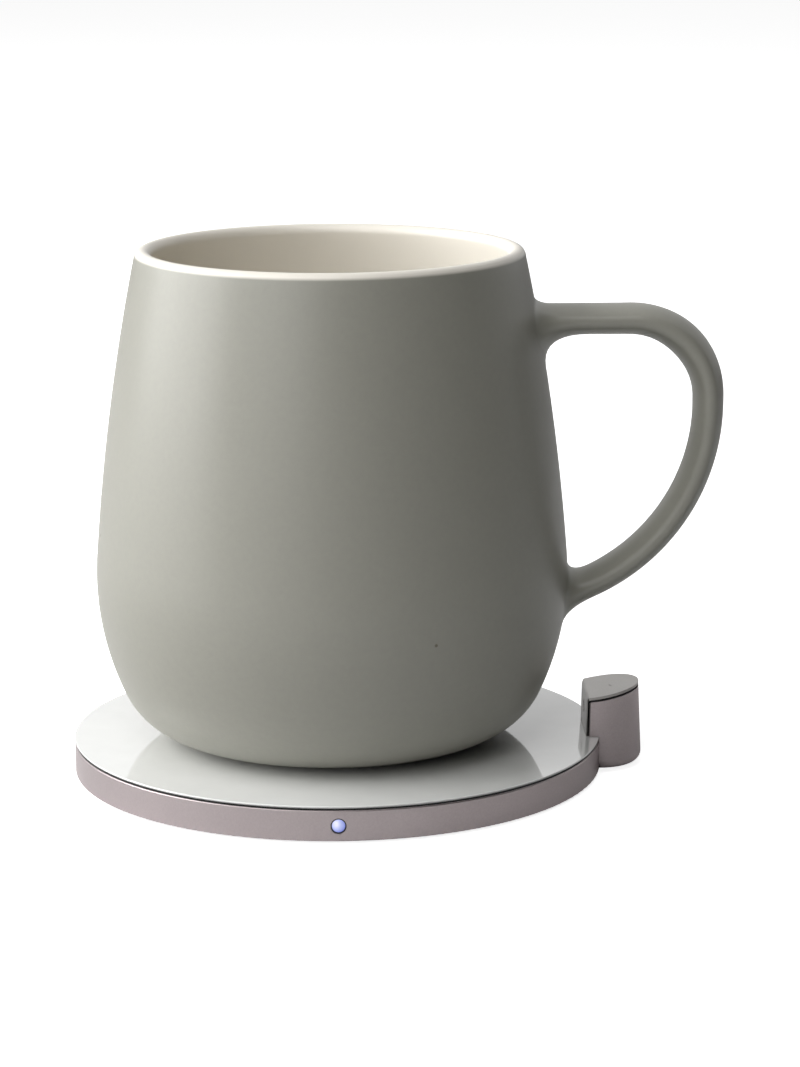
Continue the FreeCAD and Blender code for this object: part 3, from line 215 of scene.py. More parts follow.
@dataclass(frozen=True)
class Finish:
    """A real material and how its surface was made.

    Attributes:
        name: The material's name.
        light: The colour of its lighter tone, sRGB hex.
        dark: The colour of its darker tone, sRGB hex.
        roughness: The roughness of the surface.
        pattern: The kind of fine pattern on it.
        grain: The size of the pattern, mm.
        relief: The depth of the pattern, mm.
        metallic: 1 for bare metal.
        ior: The index of refraction; a metal keeps the default.
        coat: The weight of a clear layer on top.
        unevenness: How far the roughness strays.
        patch: The size of the patches over which it strays, mm.
    """

    name: str
    light: str
    dark: str
    roughness: float
    pattern: Pattern = Pattern.GRAIN
    grain: float = 0.4
    relief: float = 0.01
    metallic: float = 0.0
    ior: float = 1.5
    coat: float = 0.0
    unevenness: float = 0.05
    patch: float = 18.0

    def figure(self, tree: bpy.types.NodeTree, place: bpy.types.NodeSocket) -> bpy.types.NodeSocket:
        """Builds the fine pattern.

        Args:
            tree: The material's node tree.
            place: The object coordinates, in metres.

        Returns:
            A socket that runs from 0 to 1 over the pattern.
        """
        scale = 1 / (self.grain * MM)
        if self.pattern is Pattern.CELLS:
            return add_node(tree, "ShaderNodeTexVoronoi", {"Scale": scale}, {"Vector": place}).outputs["Distance"]
        if self.pattern is Pattern.WEAVE:
            across, along = (add_node(tree, "ShaderNodeTexWave", {
                "bands_direction": way, "Scale": scale / WAVE_TURNS, "Distortion": 0.4},
                {"Vector": place}) for way in "XY")
            return add_node(tree, "ShaderNodeMath", {"operation": "MULTIPLY"},
                            {0: across.outputs["Fac"], 1: along.outputs["Fac"]}).outputs[0]
        if self.pattern in (Pattern.TURNED, Pattern.WOUND):
            rings = add_node(tree, "ShaderNodeTexWave", {
                "wave_type": "RINGS", "rings_direction": "Z", "Scale": scale / WAVE_TURNS,
                "Distortion": 0.0 if self.pattern is Pattern.WOUND else 0.3}, {"Vector": place})
            return rings.outputs["Fac"]
        if self.pattern is Pattern.DRAWN:
            place = add_node(tree, "ShaderNodeMapping", {"Scale": (1, 1, 0.04)}, {"Vector": place}).outputs[0]
        return add_node(tree, "ShaderNodeTexNoise", {"Scale": scale, "Detail": 4.0, "Roughness": 0.6},
                        {"Vector": place}).outputs["Fac"]

    def colour(self, tree: bpy.types.NodeTree, place: bpy.types.NodeSocket,
               figure: bpy.types.NodeSocket) -> bpy.types.NodeSocket:
        """Colours the surface from its darker to its lighter tone.

        Args:
            tree: The material's node tree.
            place: The object coordinates, in metres; not used here.
            figure: The fine pattern.

        Returns:
            The colour socket.
        """
        return ramp(tree, figure, list(zip(NOISE_SPAN, (self.dark, self.light))))

    def dress(self, tree: bpy.types.NodeTree, shader: bpy.types.Node, place: bpy.types.NodeSocket) -> None:
        """Adds what this finish alone has; the plain finish adds nothing."""

    def make(self) -> bpy.types.Material:
        """Builds the material, once for each name.

        Returns:
            The material.
        """
        if self.name in bpy.data.materials:
            return bpy.data.materials[self.name]
        material = bpy.data.materials.new(self.name)
        tree = fresh_tree(material)
        place = add_node(tree, "ShaderNodeTexCoord").outputs["Object"]
        figure = self.figure(tree, place)
        broad = add_node(tree, "ShaderNodeTexNoise", {"Scale": 1 / (self.patch * MM), "Detail": 3.0},
                         {"Vector": place})
        rough = remap(tree, broad.outputs["Fac"], NOISE_SPAN, (
            max(self.roughness - self.unevenness, 0.02), min(self.roughness + self.unevenness, 1.0)))
        bump = add_node(tree, "ShaderNodeBump", {"Strength": 1.0, "Distance": self.relief * MM},
                        {"Height": figure})
        shader = add_node(tree, "ShaderNodeBsdfPrincipled", {
            "Metallic": self.metallic, "IOR": self.ior, "Coat Weight": self.coat, "Coat Roughness": 0.04,
        }, {"Base Color": self.colour(tree, place, figure), "Roughness": rough,
            "Normal": bump.outputs["Normal"]})
        self.dress(tree, shader, place)
        add_node(tree, "ShaderNodeOutputMaterial", links={"Surface": shader.outputs["BSDF"]})
        return material


@dataclass(frozen=True)
class GlazedStoneware(Finish):
    """Slip-cast stoneware under two satin glazes: grey outside, cream from the lip inward.

    Attributes:
        lining: The colour of the inner glaze, sRGB hex.
        clay: The colour of the bare clay, sRGB hex.
        speck: The colour of an iron speck, sRGB hex.
        speck_pitch: How far apart the specks lie, mm.
        speck_size: Where a speck's edge starts and ends, as shares of that distance.
    """

    lining: str = "#F1ECE1"
    clay: str = "#CDBFA9"
    speck: str = "#6F6A5E"
    speck_pitch: float = 26.0
    speck_size: Point = (0.008, 0.016)

    def colour(self, tree: bpy.types.NodeTree, place: bpy.types.NodeSocket,
               figure: bpy.types.NodeSocket) -> bpy.types.NodeSocket:
        """Mixes the two glazes, the bare clay of the foot and a few iron specks.

        Args:
            tree: The material's node tree.
            place: The object coordinates, in metres.
            figure: The fine pattern.

        Returns:
            The colour socket.
        """
        outside = super().colour(tree, place, figure)
        spots = add_node(tree, "ShaderNodeTexVoronoi", {"Scale": 1 / (self.speck_pitch * MM)}, {"Vector": place})
        tone = blend(tree, remap(tree, spots.outputs["Distance"], self.speck_size), self.speck, outside)
        for mark, over in (("lining", self.lining), ("bare", self.clay)):
            mask = add_node(tree, "ShaderNodeAttribute", {"attribute_name": mark})
            tone = blend(tree, mask.outputs["Fac"], tone, over)
        return tone


@dataclass(frozen=True)
class LitLens(Finish):
    """A polished diffusing lens, lit from behind and blue towards its rim; its near-white heart sits up and to
    the left, and is partly a painted highlight of the left lamp.

    Attributes:
        core_and_highlight: Its colour at the heart of the glow, which is partly a painted highlight, sRGB hex.
        middle: Its colour half way out, sRGB hex.
        rim: Its colour at the rim, sRGB hex.
        reach: How far from the chip the rim's colour is reached, mm.
        spot: Where the heart of the glow and its painted highlight sit, from the lens's middle, mm.
        level: The height of the lens's middle, mm.
        strength: The strength of its light.
    """

    core_and_highlight: str = "#F6F4FF"
    middle: str = "#B9C4F6"
    rim: str = "#6E7CD8"
    reach: float = 1.875
    spot: Point = (-0.4, 0.4)
    level: float = 3.575
    strength: float = 0.7

    def dress(self, tree: bpy.types.NodeTree, shader: bpy.types.Node, place: bpy.types.NodeSocket) -> None:
        """Lights the lens outward from the spot, whose near-white heart is partly a painted highlight.

        Args:
            tree: The material's node tree.
            shader: The principled shader that gets the light.
            place: The object coordinates, in metres.
        """
        across, up = self.spot
        offset = add_node(tree, "ShaderNodeVectorMath", {
            "operation": "SUBTRACT", 1: (across * MM, 0, (self.level + up) * MM)}, {0: place})
        flat = add_node(tree, "ShaderNodeVectorMath", {"operation": "MULTIPLY", 1: (1, 0, 1)},
                        {0: offset.outputs[0]})
        length = add_node(tree, "ShaderNodeVectorMath", {"operation": "LENGTH"}, {0: flat.outputs[0]})
        share = remap(tree, length.outputs["Value"], (0.0, self.reach * MM))
        # Painted highlight: the glow is whitest at the spot up and to the left, and bluer away from it
        glow = ramp(tree, share, [(0.15, self.core_and_highlight), (0.5, self.middle), (1.0, self.rim)])
        tree.links.new(glow, shader.inputs["Emission Color"])
        shader.inputs["Emission Strength"].default_value = self.strength


# Bead-blasted and anodised aluminium: a soft satin metal with a rosy grey cast and a fine blasted grain
BAND_ALUMINIUM = Finish("anodised_aluminium_blasted_rose", "#B5ABAC", "#ADA3A4", 0.42, grain=0.35, relief=0.003,
                        metallic=1.0, unevenness=0.03)
# The same process without the rose dye: a paler, neutral grey with a slightly finer sheen
COVER_ALUMINIUM = Finish("anodised_aluminium_blasted_silver", "#A29F9C", "#9B9895", 0.36, grain=0.35,
                         relief=0.003, metallic=1.0, unevenness=0.03)
# Toughened glass, printed white on its back: a flat white under a sharp clear reflection
WHITE_GLASS = Finish("toughened_glass_white_back_print", "#F0F1EF", "#ECEDEB", 0.06, grain=6.0, relief=0.0004,
                     ior=1.52, coat=1.0, unevenness=0.02)
# Slip-cast stoneware under satin glaze: soft, even sheen with a faint mottle
STONEWARE = GlazedStoneware("stoneware_satin_glazed", "#9B9A90", "#98978E", 0.38, grain=1.2, relief=0.0015,
                            ior=1.55, unevenness=0.02)
# Pressed silicone rubber: dull and dark, with a dusty bloom
SILICONE = Finish("silicone_rubber_moulded", "#3A3A3C", "#303032", 0.75, grain=0.5, relief=0.01, ior=1.41)
# Moulded polycarbonate blend with a spark-eroded texture: an even dark grey that scatters light
DARK_MOULDING = Finish("polycarbonate_abs_textured", "#4A4748", "#423F40", 0.6, Pattern.CELLS, grain=0.5,
                       relief=0.02, ior=1.58)
# Glass-filled nylon from the mould: near black, with a fibre's faint unevenness
BLACK_MOULDING = Finish("nylon_glass_filled_moulded", "#262628", "#1E1E20", 0.5, grain=0.3, relief=0.006,
                        ior=1.53)
# A dull black strip in the seams between two bright pieces: painted shade that draws the dark lines of the seams'
# gaps
DARK_SEAM_SHADE = Finish("black_seam_painted_shade", "#1B1A1A", "#141313", 0.55, grain=0.6, relief=0.01, ior=1.41)
# Pressed and sintered ferrite: a slate grey ceramic with fine crystal faces
FERRITE = Finish("ferrite_sintered", "#4B4C50", "#3D3E42", 0.45, Pattern.CELLS, grain=0.3, relief=0.008, ior=2.3)
# Stranded copper under enamel, wound flat: orange rings, coarser than the real strands so that they show
COIL_WIRE = Finish("litz_wire_enamelled_wound", "#C9783F", "#8E4B22", 0.35, Pattern.WOUND, grain=1.1,
                   relief=0.12, metallic=1.0)
# Pressed mica flakes: straw yellow with a flaky shimmer
MICA = Finish("mica_sheet_pressed", "#CDBE95", "#B5A57C", 0.4, Pattern.CELLS, grain=1.6, relief=0.01, ior=1.58)
# Transfer-moulded epoxy: the even, slightly chalky black of a chip's body
EPOXY = Finish("epoxy_moulded_black", "#2B2B2D", "#232325", 0.55, grain=0.2, relief=0.006, ior=1.55)
# Woven glass in epoxy under a green mask: a glossy green in which the weave, drawn coarser, still shows
BOARD = Finish("glass_epoxy_laminate_solder_masked", "#1F5B3E", "#174A31", 0.35, Pattern.WEAVE, grain=0.6,
               relief=0.006, ior=1.55, coat=0.4)
# Fired titanate ceramic: a matt biscuit brown
CAPACITOR = Finish("barium_titanate_fired", "#B0916B", "#9A7C58", 0.5, grain=0.3, relief=0.006, ior=2.4)
# Turned steel under zinc: bright and cool, with fine turning rings
SCREW_STEEL = Finish("steel_zinc_plated", "#C4C6C9", "#B4B6B9", 0.28, Pattern.TURNED, grain=0.3, relief=0.004,
                     metallic=1.0)
# Deep-drawn steel under nickel: a warm, bright metal with faint drawing lines
INLET_STEEL = Finish("steel_nickel_plated_drawn", "#CFCFD0", "#BDBDBF", 0.22, Pattern.DRAWN, grain=0.12,
                     relief=0.002, metallic=1.0)
# Silicone cast over a phosphor: a soft pale yellow dome
LED_CHIP = Finish("phosphor_silicone_cast", "#F0EFE2", "#E3E1CE", 0.3, grain=0.2, relief=0.004, ior=1.41)
# Polished polycarbonate in front of the chip: a lit violet bead whose white heart, set to the upper left, is
# partly a painted highlight
LENS = LitLens("polycarbonate_polished_lit", "#7F86B8", "#777EB0", 0.12, grain=0.8, relief=0.002, ior=1.58)
# Polished smoke acrylic: a black, mirror-smooth spot
WINDOW = Finish("acrylic_polished_smoke", "#121214", "#0E0E10", 0.08, grain=1.0, relief=0.001, ior=1.49)
# Copper tracks between polyimide films: a translucent-looking amber with a light sheen
RIBBON = Finish("polyimide_film_laminated", "#B4702A", "#9C5D1E", 0.3, Pattern.WEAVE, grain=0.5, relief=0.004,
                ior=1.7)
# Silver paste printed and fired on the clay: a pale metal, duller than plate, with print rings
HEATER_FILM = Finish("silver_film_fired", "#C8C4BE", "#B9B4AE", 0.32, Pattern.TURNED, grain=0.8, relief=0.006,
                     metallic=1.0)
# Gold over copper alloy: small bright yellow strips
GOLD_CONTACT = Finish("copper_alloy_gold_plated", "#D8B25A", "#CBA44C", 0.2, Pattern.DRAWN, grain=0.1,
                      relief=0.001, metallic=1.0)


def make_object(name: str, points: np.ndarray, faces: Sequence[Sequence[int]], finish: Finish, body: Body,
                replaces: Sequence[str] = (), slot: str = "") -> bpy.types.Object:
    """Makes one piece and hangs it on its body.

    Args:
        name: The piece's name.
        points: Its points, in mm.
        faces: Its faces, as rows of point numbers.
        finish: What it is finished in.
        body: The CAD body that it rides on.
        replaces: The CAD nodes that it stands for.
        slot: The record's material slot that it takes.

    Returns:
        The piece.
    """
    mesh = bpy.data.meshes.new(name)
    mesh.from_pydata((np.asarray(points, float) * MM).tolist(), [], [list(face) for face in faces])
    mesh.validate()
    mesh.polygons.foreach_set("use_smooth", [True] * len(mesh.polygons))
    mesh.materials.append(finish.make())
    piece = add_object(name, mesh)
    settle(piece, body, replaces, slot)
    return piece


def settle(piece: bpy.types.Object, body: Body, replaces: Sequence[str], slot: str) -> None:
    """Rides a piece on its body and hides the CAD nodes that it stands for.

    Args:
        piece: The piece.
        body: The CAD body that it rides on.
        replaces: The CAD nodes that it stands for.
        slot: The record's material slot that it takes; not used.
    """
    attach(piece, body.value)
    if replaces:
        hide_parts(*replaces)


def arc_line(centre: Point, radius: float, start: float, end: float, steps: int) -> list[Point]:
    """Points along an arc.

    Args:
        centre: The arc's centre, mm.
        radius: Its radius, mm.
        start: The angle of its first point, radians.
        end: The angle of its last point, radians.
        steps: How many pieces it is cut into.

    Returns:
        The points, both ends included.
    """
    return [(centre[0] + radius * math.cos(turn), centre[1] + radius * math.sin(turn))
            for turn in np.linspace(start, end, steps + 1)]


def turned(line: Sequence[Point], steps: int) -> tuple[np.ndarray, list[list[int]]]:
    """Turns a line about Z.

    Args:
        line: Radius and height of each point, mm; a radius of nothing makes a pole.
        steps: How many steps go round.

    Returns:
        The points and the faces.
    """
    points: list[tuple[float, float, float]] = []
    rows: list[list[int]] = []
    turns = np.linspace(0, 2 * math.pi, steps, endpoint=False)
    for radius, height in line:
        first = len(points)
        if radius < WELD:
            points.append((0.0, 0.0, height))
            rows.append([first] * steps)
        else:
            points += [(radius * math.cos(turn), radius * math.sin(turn), height) for turn in turns]
            rows.append(list(range(first, first + steps)))
    faces = []
    for low, high in zip(rows, rows[1:]):
        for place in range(steps):
            after = (place + 1) % steps
            corners = [low[place], low[after], high[after], high[place]]
            face = [corner for n, corner in enumerate(corners) if corner != corners[n - 1]]
            if len(face) > 2:
                faces.append(face)
    return np.array(points), faces


def circles_meet(first: Point, first_radius: float, second: Point, second_radius: float) -> Point:
    """Where two circles cross, at the crossing with the lower radius from the axis.

    Args:
        first: The first centre.
        first_radius: Its radius.
        second: The second centre.
        second_radius: Its radius.

    Returns:
        The crossing.
    """
    apart = math.dist(first, second)
    ahead = ((second[0] - first[0]) / apart, (second[1] - first[1]) / apart)
    along = (first_radius ** 2 - second_radius ** 2 + apart ** 2) / 2 / apart
    aside = math.sqrt(first_radius ** 2 - along ** 2)
    middle = (first[0] + ahead[0] * along, first[1] + ahead[1] * along)
    return min(((middle[0] - ahead[1] * way, middle[1] + ahead[0] * way) for way in (aside, -aside)),
               key=lambda place: place[0])


def meeting_level(outer: Point, inner: Point, radius: float) -> float:
    """The height where two tangent arcs meet, from the larger one's centre and radius."""
    apart = math.dist(outer, inner)
    return outer[1] + (inner[1] - outer[1]) / apart * radius


def encloses(outline: np.ndarray, spot: np.ndarray) -> bool:
    """Whether a closed outline goes round a spot.

    Args:
        outline: The outline's points.
        spot: The spot.

    Returns:
        True when the spot is inside.
    """
    after = np.roll(outline, -1, axis=0)
    span = (outline[:, 1] > spot[1]) != (after[:, 1] > spot[1])
    with np.errstate(divide="ignore", invalid="ignore"):
        cross = outline[:, 0] + (spot[1] - outline[:, 1]) * (after - outline)[:, 0] / (after - outline)[:, 1]
    return bool(np.count_nonzero(span & (spot[0] < cross)) % 2)


def fill_between(spots: Sequence[Vector], rings: Sequence[tuple[int, int]], holes: Sequence[np.ndarray],
                 names: Sequence[int]) -> list[list[int]]:
    """Fills the space between closed outlines in a plan with triangles.

    Args:
        spots: All points of the plan.
        rings: The first point and the count of points of each outline.
        holes: The outlines that stay open inside.
        names: The number that each point has in the mesh.

    Returns:
        The triangles, as numbers in the mesh.
    """
    edges = [(first + place, first + (place + 1) % size) for first, size in rings for place in range(size)]
    places, _, triangles, origins, _, _ = delaunay_2d_cdt(spots, edges, [], 1, WELD)
    faces = []
    for triangle in triangles:
        middle = np.array(sum((places[corner] for corner in triangle), Vector((0, 0))) / 3)
        if not any(encloses(hole, middle) for hole in holes):
            faces.append([names[origins[corner][0]] for corner in triangle])
    return faces


@contextmanager
def editing(mesh: bpy.types.Mesh) -> Iterator[bmesh.types.BMesh]:
    """Opens a mesh for editing and writes it back.

    Args:
        mesh: The mesh.

    Yields:
        The mesh in its editable form.
    """
    shape = bmesh.new()
    shape.from_mesh(mesh)
    yield shape
    shape.to_mesh(mesh)
    shape.free()


@dataclass
class Handle:
    """The mug's handle: a flattened round section on a level run, a knuckle and a long sweep.

    Attributes:
        level: The height of its level run above the mug's foot, mm.
        reach: How far its middle line stands out, mm.
        knuckle: The radius of its upper bend, mm.
        drop: The length of its upright run, mm.
        sweep: The radius of its long bend, mm.
        swell: How much thicker it is in the middle of the knuckle.
        swell_reach: How far the swelling reaches each way, mm.
        width: Its width, mm.
        thickness: Its thickness, mm.
        side: The radius of its sides, mm.
        root: How far the upper and the lower root spread on the wall, mm.
        root_under: How far they spread further on the inner side of the loop, mm.
        flare: How far along the handle each root reaches, mm.
        flare_under: How much further it reaches on the inner side of the loop, mm.
        pull: How strongly a root's curve keeps to the wall and to the handle, as a share of its run.
        clear: How far the wall's own points keep from a root's outline, mm.
        rings: How many steps run along it.
        root_rings: How many steps each root takes.
        probe: How far apart two places are compared to find a slope, mm.
        seek_upper: Distances along it, inside and outside the wall, between which the upper root is, mm.
        seek_lower: The same for the lower root, as shares of its length.
    """

    level: float = 82.8
    reach: float = 74.1
    knuckle: float = 15.5
    drop: float = 1.5
    sweep: float = 39.3
    swell: float = 0.12
    swell_reach: float = 8.0
    width: float = 12.0
    thickness: float = 6.0
    side: float = 1.7
    root: Point = (1.6, 3.8)
    root_under: Point = (4.7, -0.6)
    flare: Point = (2.4, 6.0)
    flare_under: Point = (7.0, -0.6)
    pull: float = 0.66
    clear: float = 0.7
    rings: int = 110
    root_rings: int = 10
    probe: float = 0.05
    seek_upper: Point = (-18.0, -2.0)
    seek_lower: Point = (0.97, 0.62)

    def section(self) -> np.ndarray:
        """The handle's section, as distances across it and out from its middle line.

        Returns:
            The points of the closed section, mm.
        """
        half, depth, edge = self.width / 2, self.thickness / 2, self.side
        crown = ((half - edge) ** 2 + depth ** 2 - edge ** 2) / 2 / (depth - edge)
        lean = math.atan2(half - edge, crown - depth)
        quarter = math.pi / 2
        top = arc_line((0, depth - crown), crown, quarter - lean, quarter + lean, 18)[:-1]
        left = arc_line((edge - half, 0), edge, quarter + lean, 3 * quarter - lean, 14)[:-1]
        under = arc_line((0, crown - depth), crown, 3 * quarter - lean, 3 * quarter + lean, 18)[:-1]
        right = arc_line((half - edge, 0), edge, lean - quarter, quarter - lean, 14)[:-1]
        return np.array(top + left + under + right)

    def place(self, floor: float, along: np.ndarray, section: np.ndarray) -> np.ndarray:
        """Points of the handle's surface.

        Args:
            floor: The level that the mug stands on, mm.
            along: The distance of each point along the middle line, from the start of the knuckle, mm.
            section: The section point of each, mm.

        Returns:
            The points, mm.
        """
        bend = math.pi / 2 * self.knuckle
        past = along - bend - self.drop
        turn = np.where(past > 0, math.pi / 2 + past / self.sweep,
                        np.clip(along / self.knuckle, 0, math.pi / 2))
        radius = np.where(past > 0, self.sweep, self.knuckle)
        straight = np.minimum(along, 0)
        down = np.clip(along - bend, 0, self.drop)
        swell = 1 + self.swell * np.exp(-((along - bend / 2) / self.swell_reach) ** 2)
        out = section[..., 1] * swell
        x = self.reach - radius + (radius + out) * np.sin(turn) + straight
        z = floor + self.level - self.knuckle - down + (radius + out) * np.cos(turn)
        return np.stack([x, section[..., 0], z], axis=-1)

    def meet(self, mug: "Mug", section: np.ndarray, inside: float, outside: float) -> np.ndarray:
        """How far along the handle each line of its section meets the wall.

        Args:
            mug: The mug.
            section: The section's points, mm.
            inside: A distance along the handle that is inside the wall, mm.
            outside: One that is clear of it, mm.

        Returns:
            The distance for each point of the section, mm.
        """
        low = np.full(len(section), inside)
        high = np.full(len(section), outside)
        for _ in range(HALVINGS):
            middle = (low + high) / 2
            spot = self.place(mug.floor, middle, section)
            within = np.hypot(spot[:, 0], spot[:, 1]) < mug.skin_radius(spot[:, 2])
            low = np.where(within, middle, low)
            high = np.where(within, high, middle)
        return (low + high) / 2

    def grow(self, mug: "Mug", points: np.ndarray, faces: list[list[int]], number: Callable[[int, int], int],
             count: int) -> tuple[np.ndarray, list[list[int]]]:
        """Fills the wall round the two roots and sweeps the handle between them.

        Args:
            mug: The mug.
            points: The wall's points, mm.
            faces: The wall's faces, without those of the patch that the roots stand on.
            number: Gives the number of a wall point from its row and column in the patch.
            count: How many rows the patch has.

        Returns:
            The points and faces of the whole mug.
        """
        section = self.section()
        size = len(section)
        inward = np.clip(-section[:, 1] / (self.thickness / 2), -1, 1) * 0.5 + 0.5
        length = math.pi / 2 * (self.knuckle + self.sweep) + self.drop
        ends = [self.meet(mug, section, *self.seek_upper),
                self.meet(mug, section, *(length * share for share in self.seek_lower))]
        roots, loops = [], []
        for end, way in ((0, 1), (1, -1)):
            flare = self.flare[end] + self.flare_under[end] * inward
            spread = self.root[end] + self.root_under[end] * inward
            corner = self.place(mug.floor, ends[end], section)
            start = self.place(mug.floor, ends[end] + way * flare, section)
            before = self.place(mug.floor, ends[end] + way * (flare + self.probe / 5), section)
            foot = self.spread_on_wall(mug, corner, spread)
            roots.append(self.root_rows(mug, foot, corner, start, start - before))
            loops.append(foot)
            ends[end] = ends[end] + way * flare
        share = np.linspace(0, 1, self.rings + 1)[1:-1, None]
        along = ends[0] * (1 - share) + ends[1] * share
        bodies = self.place(mug.floor, along, np.broadcast_to(section, (self.rings - 1, size, 2)))
        rows = list(roots[0]) + list(bodies) + list(roots[1][::-1])
        first = len(points)
        points = np.vstack([points] + rows)
        for row in range(len(rows) - 1):
            for place in range(size):
                after = (place + 1) % size
                low, high = first + row * size, first + (row + 1) * size
                faces.append([low + place, low + after, high + after, high + place])
        loop_numbers = [list(range(first, first + size)),
                        list(range(first + (len(rows) - 1) * size, first + len(rows) * size))]
        faces += self.fill_wall(mug, points, number, count, loop_numbers)
        return points, faces

    @staticmethod
    def spread_on_wall(mug: "Mug", corner: np.ndarray, spread: np.ndarray) -> np.ndarray:
        """Widens the outline where the handle meets the wall.

        Args:
            mug: The mug.
            corner: The outline, on the wall, mm.
            spread: How far each point moves out, mm.

        Returns:
            The wider outline, on the wall, mm.
        """
        flat = corner[:, 1:]
        ahead = np.roll(flat, -1, axis=0) - np.roll(flat, 1, axis=0)
        normal = np.stack([ahead[:, 1], -ahead[:, 0]], axis=1)
        normal /= np.linalg.norm(normal, axis=1)[:, None]
        outward = np.sign(((flat - flat.mean(axis=0)) * normal).sum(axis=1).mean())
        flat = flat + normal * outward * spread[:, None]
        radius = mug.skin_radius(flat[:, 1])
        return np.stack([np.sqrt(radius ** 2 - flat[:, 0] ** 2), flat[:, 0], flat[:, 1]], axis=1)

    def root_rows(self, mug: "Mug", foot: np.ndarray, corner: np.ndarray, start: np.ndarray,
                  tangent: np.ndarray) -> list[np.ndarray]:
        """The rows of a root, which leave the wall and join the handle without a crease.

        Args:
            mug: The mug.
            foot: The root's outline on the wall, mm.
            corner: Where the handle itself would meet the wall, mm.
            start: Where the handle's plain run starts, mm.
            tangent: The way back along the handle at each point.

        Returns:
            The rows, from the wall to the handle, mm.
        """
        step = self.probe
        slope = (mug.skin_radius(foot[:, 2] + step) - mug.skin_radius(foot[:, 2] - step)) / (2 * step)
        around = np.hypot(foot[:, 0], foot[:, 1])
        normal = np.stack([foot[:, 0] / around, foot[:, 1] / around, -slope], axis=1)
        normal /= np.linalg.norm(normal, axis=1)[:, None]
        toward = corner - foot
        on_wall = toward - normal * (toward * normal).sum(axis=1)[:, None]
        tangent = tangent / np.linalg.norm(tangent, axis=1)[:, None]
        run = ((corner - start) * tangent).sum(axis=1)[:, None]
        second, third = foot + on_wall * self.pull, start + tangent * run * self.pull
        rows = []
        for share in np.linspace(0, 1, self.root_rings + 1):
            rest = 1 - share
            rows.append(foot * rest ** 3 + second * 3 * rest ** 2 * share + third * 3 * rest * share ** 2
                        + start * share ** 3)
        return rows

    def fill_wall(self, mug: "Mug", points: np.ndarray, number: Callable[[int, int], int], count: int,
                  loops: list[list[int]]) -> list[list[int]]:
        """Fills the patch of wall round the two roots with triangles.

        Args:
            mug: The mug.
            points: All points, mm.
            number: Gives the number of a wall point from its row and column in the patch.
            count: How many rows the patch has.
            loops: The numbers of the points of each root's outline.

        Returns:
            The faces.
        """
        reach = mug.patch_columns
        border = [number(0, column) for column in range(-reach, reach)]
        border += [number(row, reach) for row in range(count - 1)]
        border += [number(count - 1, column) for column in range(reach, -reach, -1)]
        border += [number(row, -reach) for row in range(count - 1, 0, -1)]
        outlines = [points[loop][:, 1:] for loop in loops]
        inner = []
        for row in range(1, count - 1):
            for column in range(1 - reach, reach):
                spot = points[number(row, column)][1:]
                near = min(np.linalg.norm(outline - spot, axis=1).min() for outline in outlines)
                if near > self.clear and not any(encloses(outline, spot) for outline in outlines):
                    inner.append(number(row, column))
        names = border + inner + loops[0] + loops[1]
        first = len(border) + len(inner)
        rings = [(0, len(border)), (first, len(loops[0])), (first + len(loops[0]), len(loops[1]))]
        return fill_between([Vector(points[name][1:]) for name in names], rings, outlines, names)


